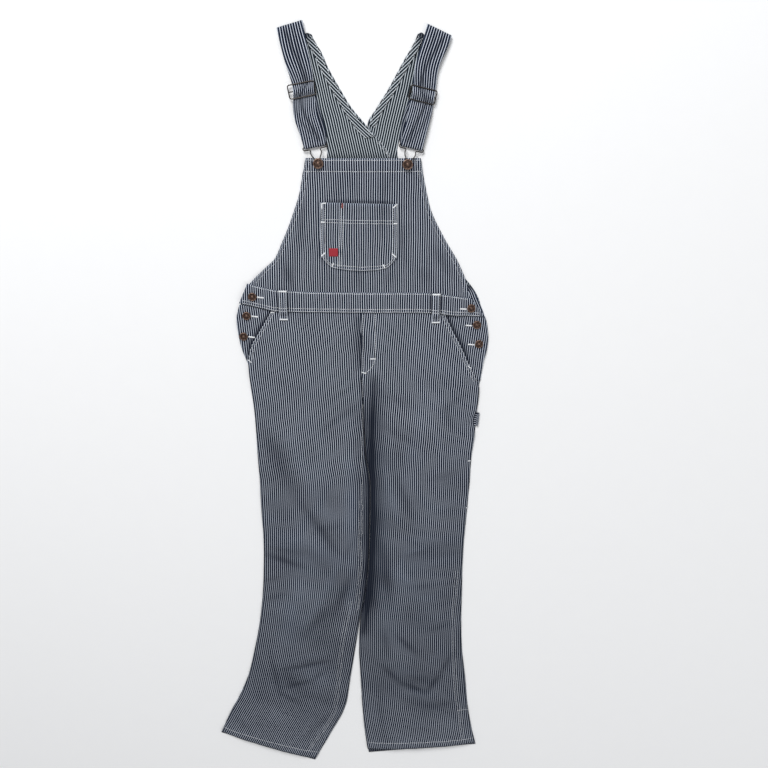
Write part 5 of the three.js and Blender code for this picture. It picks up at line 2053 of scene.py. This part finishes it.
@dataclass
class Buttons:
    """The tack buttons: one on each side of the bib and three on each hip."""

    shop: Workshop
    bib: Bib
    head: float = 8.5  # radius of a bib button
    hip_head: float = 7.2
    shank: float = 1.9  # radius of every button's shank

    def one(self, name: str, x: float, y: float, seat: float, radius: float, shank: float) -> None:
        """Makes a button: a shank and a domed head with a raised rim and a centre stud.

        Args:
            name: The piece's name.
            x: Its place across.
            y: Its place up the garment.
            seat: The height under it.
            radius: The head's radius.
            shank: The shank's length.
        """
        head = [(radius * share, shank + height) for share, height in BUTTON_HEAD]
        bm = bmesh.new()
        verts = [bm.verts.new((r, 0, h)) for r, h in [(0, 0), (self.shank, 0), (self.shank, shank), *head]]
        edges = [bm.edges.new(ends) for ends in zip(verts, verts[1:])]
        bmesh.ops.spin(
            bm, geom=verts + edges, cent=(0, 0, 0), axis=(0, 0, 1), angle=2 * math.pi, steps=40, use_merge=True
        )
        bmesh.ops.remove_doubles(bm, verts=bm.verts, dist=1e-4)
        bmesh.ops.recalc_face_normals(bm, faces=bm.faces)
        rub = bm.verts.layers.float.new("wear_and_highlight")
        for vert in bm.verts:
            r = math.hypot(vert.co.x, vert.co.y) / radius
            vert[rub] = max(near(r - 0.9, 0.07), near(r, 0.2)) * (vert.co.z > shank + 1)
        bmesh.ops.translate(bm, vec=(x, y, seat + GAP), verts=bm.verts)
        self.shop.piece(name, bm, self.shop.finishes.copper, Slot.BUTTON, "metal")

    def build(self) -> None:
        """Makes the buttons, and the stitches of the hips' buttonholes."""
        for side, place in BIB_BUTTONS.items():
            self.one(f"bib_button_{side.word}", *place, self.bib.seat(side), self.head, 2 * WIRE + 2 * GAP)
        work = Needlework(self.shop, "stitching_buttonholes")
        for side, places in HIP_BUTTONS.items():
            for k, (x, y) in enumerate(places):
                ends = np.array([x - self.hip_head, x + self.hip_head])
                seat = HIP_FACE if k else float(np.max(self.bib.under_band(ends))) + GAP + HEM
                self.one(f"side_button_{side.word}_{k + 1}", x, y, seat, self.hip_head, 0.9)
                inward = -side.value
                work.tack(x + inward * 13.5, y - 1.5, 11 * inward, -1.5 if side is Side.RIGHT else 1.0, 3.6)
        work.done()


@dataclass
class HammerLoop:
    """The folded strip in the left outer seam."""

    shop: Workshop
    x: float = 185.0
    y: float = -194.0
    width: float = 24.0
    slope: float = 0.07

    def build(self) -> None:
        """Makes the loop."""
        path = [(0, 2.1), (10, 2.1), (20, 2.1), (21.4, 2.6), (21.8, 3.3), (21.4, 4), (20, 4.5), (16.5, 4.5)]
        ribbon = Ribbon(path, 0.8)

        def shape(p: Turns) -> Array:
            """The loop's middle surface, narrower towards its lower end."""
            out = p.out * (0.70 + 0.09 * p.u)
            return np.stack([self.x + out, self.y + (p.u - 0.5) * self.width + out * self.slope, p.z], axis=1)

        size = (14, len(ribbon.line) - 1)
        obj = self.shop.shell(
            "hammer_loop", size, ribbon, lambda p: (p.u * self.width, p.run), shape, wall=1.0, offset=0.0
        )


# ---------------------------------------------------------------- studio


@dataclass
class Studio:
    """The camera, a pale floor and soft light."""

    finishes: Finishes
    aim: Point = (34.0, -128.19, 0.0)
    away: tuple[float, float] = (524.0, 1485.0)  # towards the head end, and up
    tilt: float = 19.433

    def camera(self) -> None:
        """Sets the camera at the photograph's angle."""
        data = bpy.data.cameras.new("camera")
        data.sensor_width = 36.0
        data.lens = 42.19
        data.clip_start = 0.05
        obj = bpy.data.objects.new("camera", data)
        bpy.context.scene.collection.objects.link(obj)
        x, y, z = self.aim
        obj.location = to_frame(x, y + self.away[0], z + self.away[1])
        obj.rotation_euler = (-math.radians(self.tilt), 0, 0)
        bpy.context.scene.camera = obj

    def light(self, name: str, place: Point, size: float, watts: float) -> None:
        """Adds a soft light that faces the garment.

        Args:
            name: Its name.
            place: Where it hangs, in metres.
            size: How wide it is, in metres.
            watts: Its power.
        """
        data = bpy.data.lights.new(name, "AREA")
        data.shape = "DISK"
        data.size = size
        data.energy = watts
        obj = bpy.data.objects.new(name, data)
        bpy.context.scene.collection.objects.link(obj)
        obj.location = place
        obj.rotation_euler = (Vector((0, 0, 0)) - Vector(place)).to_track_quat("-Z", "Y").to_euler()

    def build(self) -> None:
        """Sets the floor, the lights and the air."""
        bm = bmesh.new()
        bmesh.ops.create_grid(bm, x_segments=1, y_segments=1, size=6.0)
        bmesh.ops.translate(bm, vec=(0, 0, -0.0004), verts=bm.verts)
        mesh = bpy.data.meshes.new("floor")
        bm.to_mesh(mesh)
        bm.free()
        mesh.materials.append(self.finishes.floor)
        floor = bpy.data.objects.new("floor", mesh)
        bpy.context.scene.collection.objects.link(floor)
        self.light("key", (-0.8, 2.8, 2.6), 1.7, 122)
        self.light("fill", (1.9, -0.9, 2.3), 2.0, 14)
        world = bpy.data.worlds.new("air")
        world.use_nodes = True
        air = next(n for n in world.node_tree.nodes if n.type == "BACKGROUND")
        air.inputs["Color"].default_value = (0.97, 0.98, 1.0, 1.0)
        air.inputs["Strength"].default_value = 0.42
        bpy.context.scene.world = world
        bpy.context.scene.view_settings.view_transform = "Standard"


def main() -> None:
    """Builds the dungarees and their studio, in order."""
    logging.basicConfig(level=logging.INFO, format="%(name)s: %(message)s")
    finishes = Finishes()
    studio = Studio(finishes)
    studio.camera()
    shop = Workshop(finishes)
    back, legs = Back(shop), Legs(shop)
    back.build()
    legs.build()
    bib = Bib(shop, legs)
    bib.build()
    HammerLoop(shop).build()
    straps = [
        Strap(shop, Side.RIGHT, (-110, 454), math.tan(0.2), (6.2, 1.1), bib.seat(Side.RIGHT)),
        Strap(shop, Side.LEFT, (118.5, 445), -math.tan(0.15), (5.1, 3.5), bib.seat(Side.LEFT)),
    ]
    for strap in straps:
        strap.build()
    for piece in (legs, bib, back):
        piece.dress()
    work = Needlework(shop, "stitching_straps")
    for strap in straps:
        strap.dress(work)
    work.done()
    Buttons(shop, bib).build()
    studio.build()


if __name__ == "__main__":
    main()
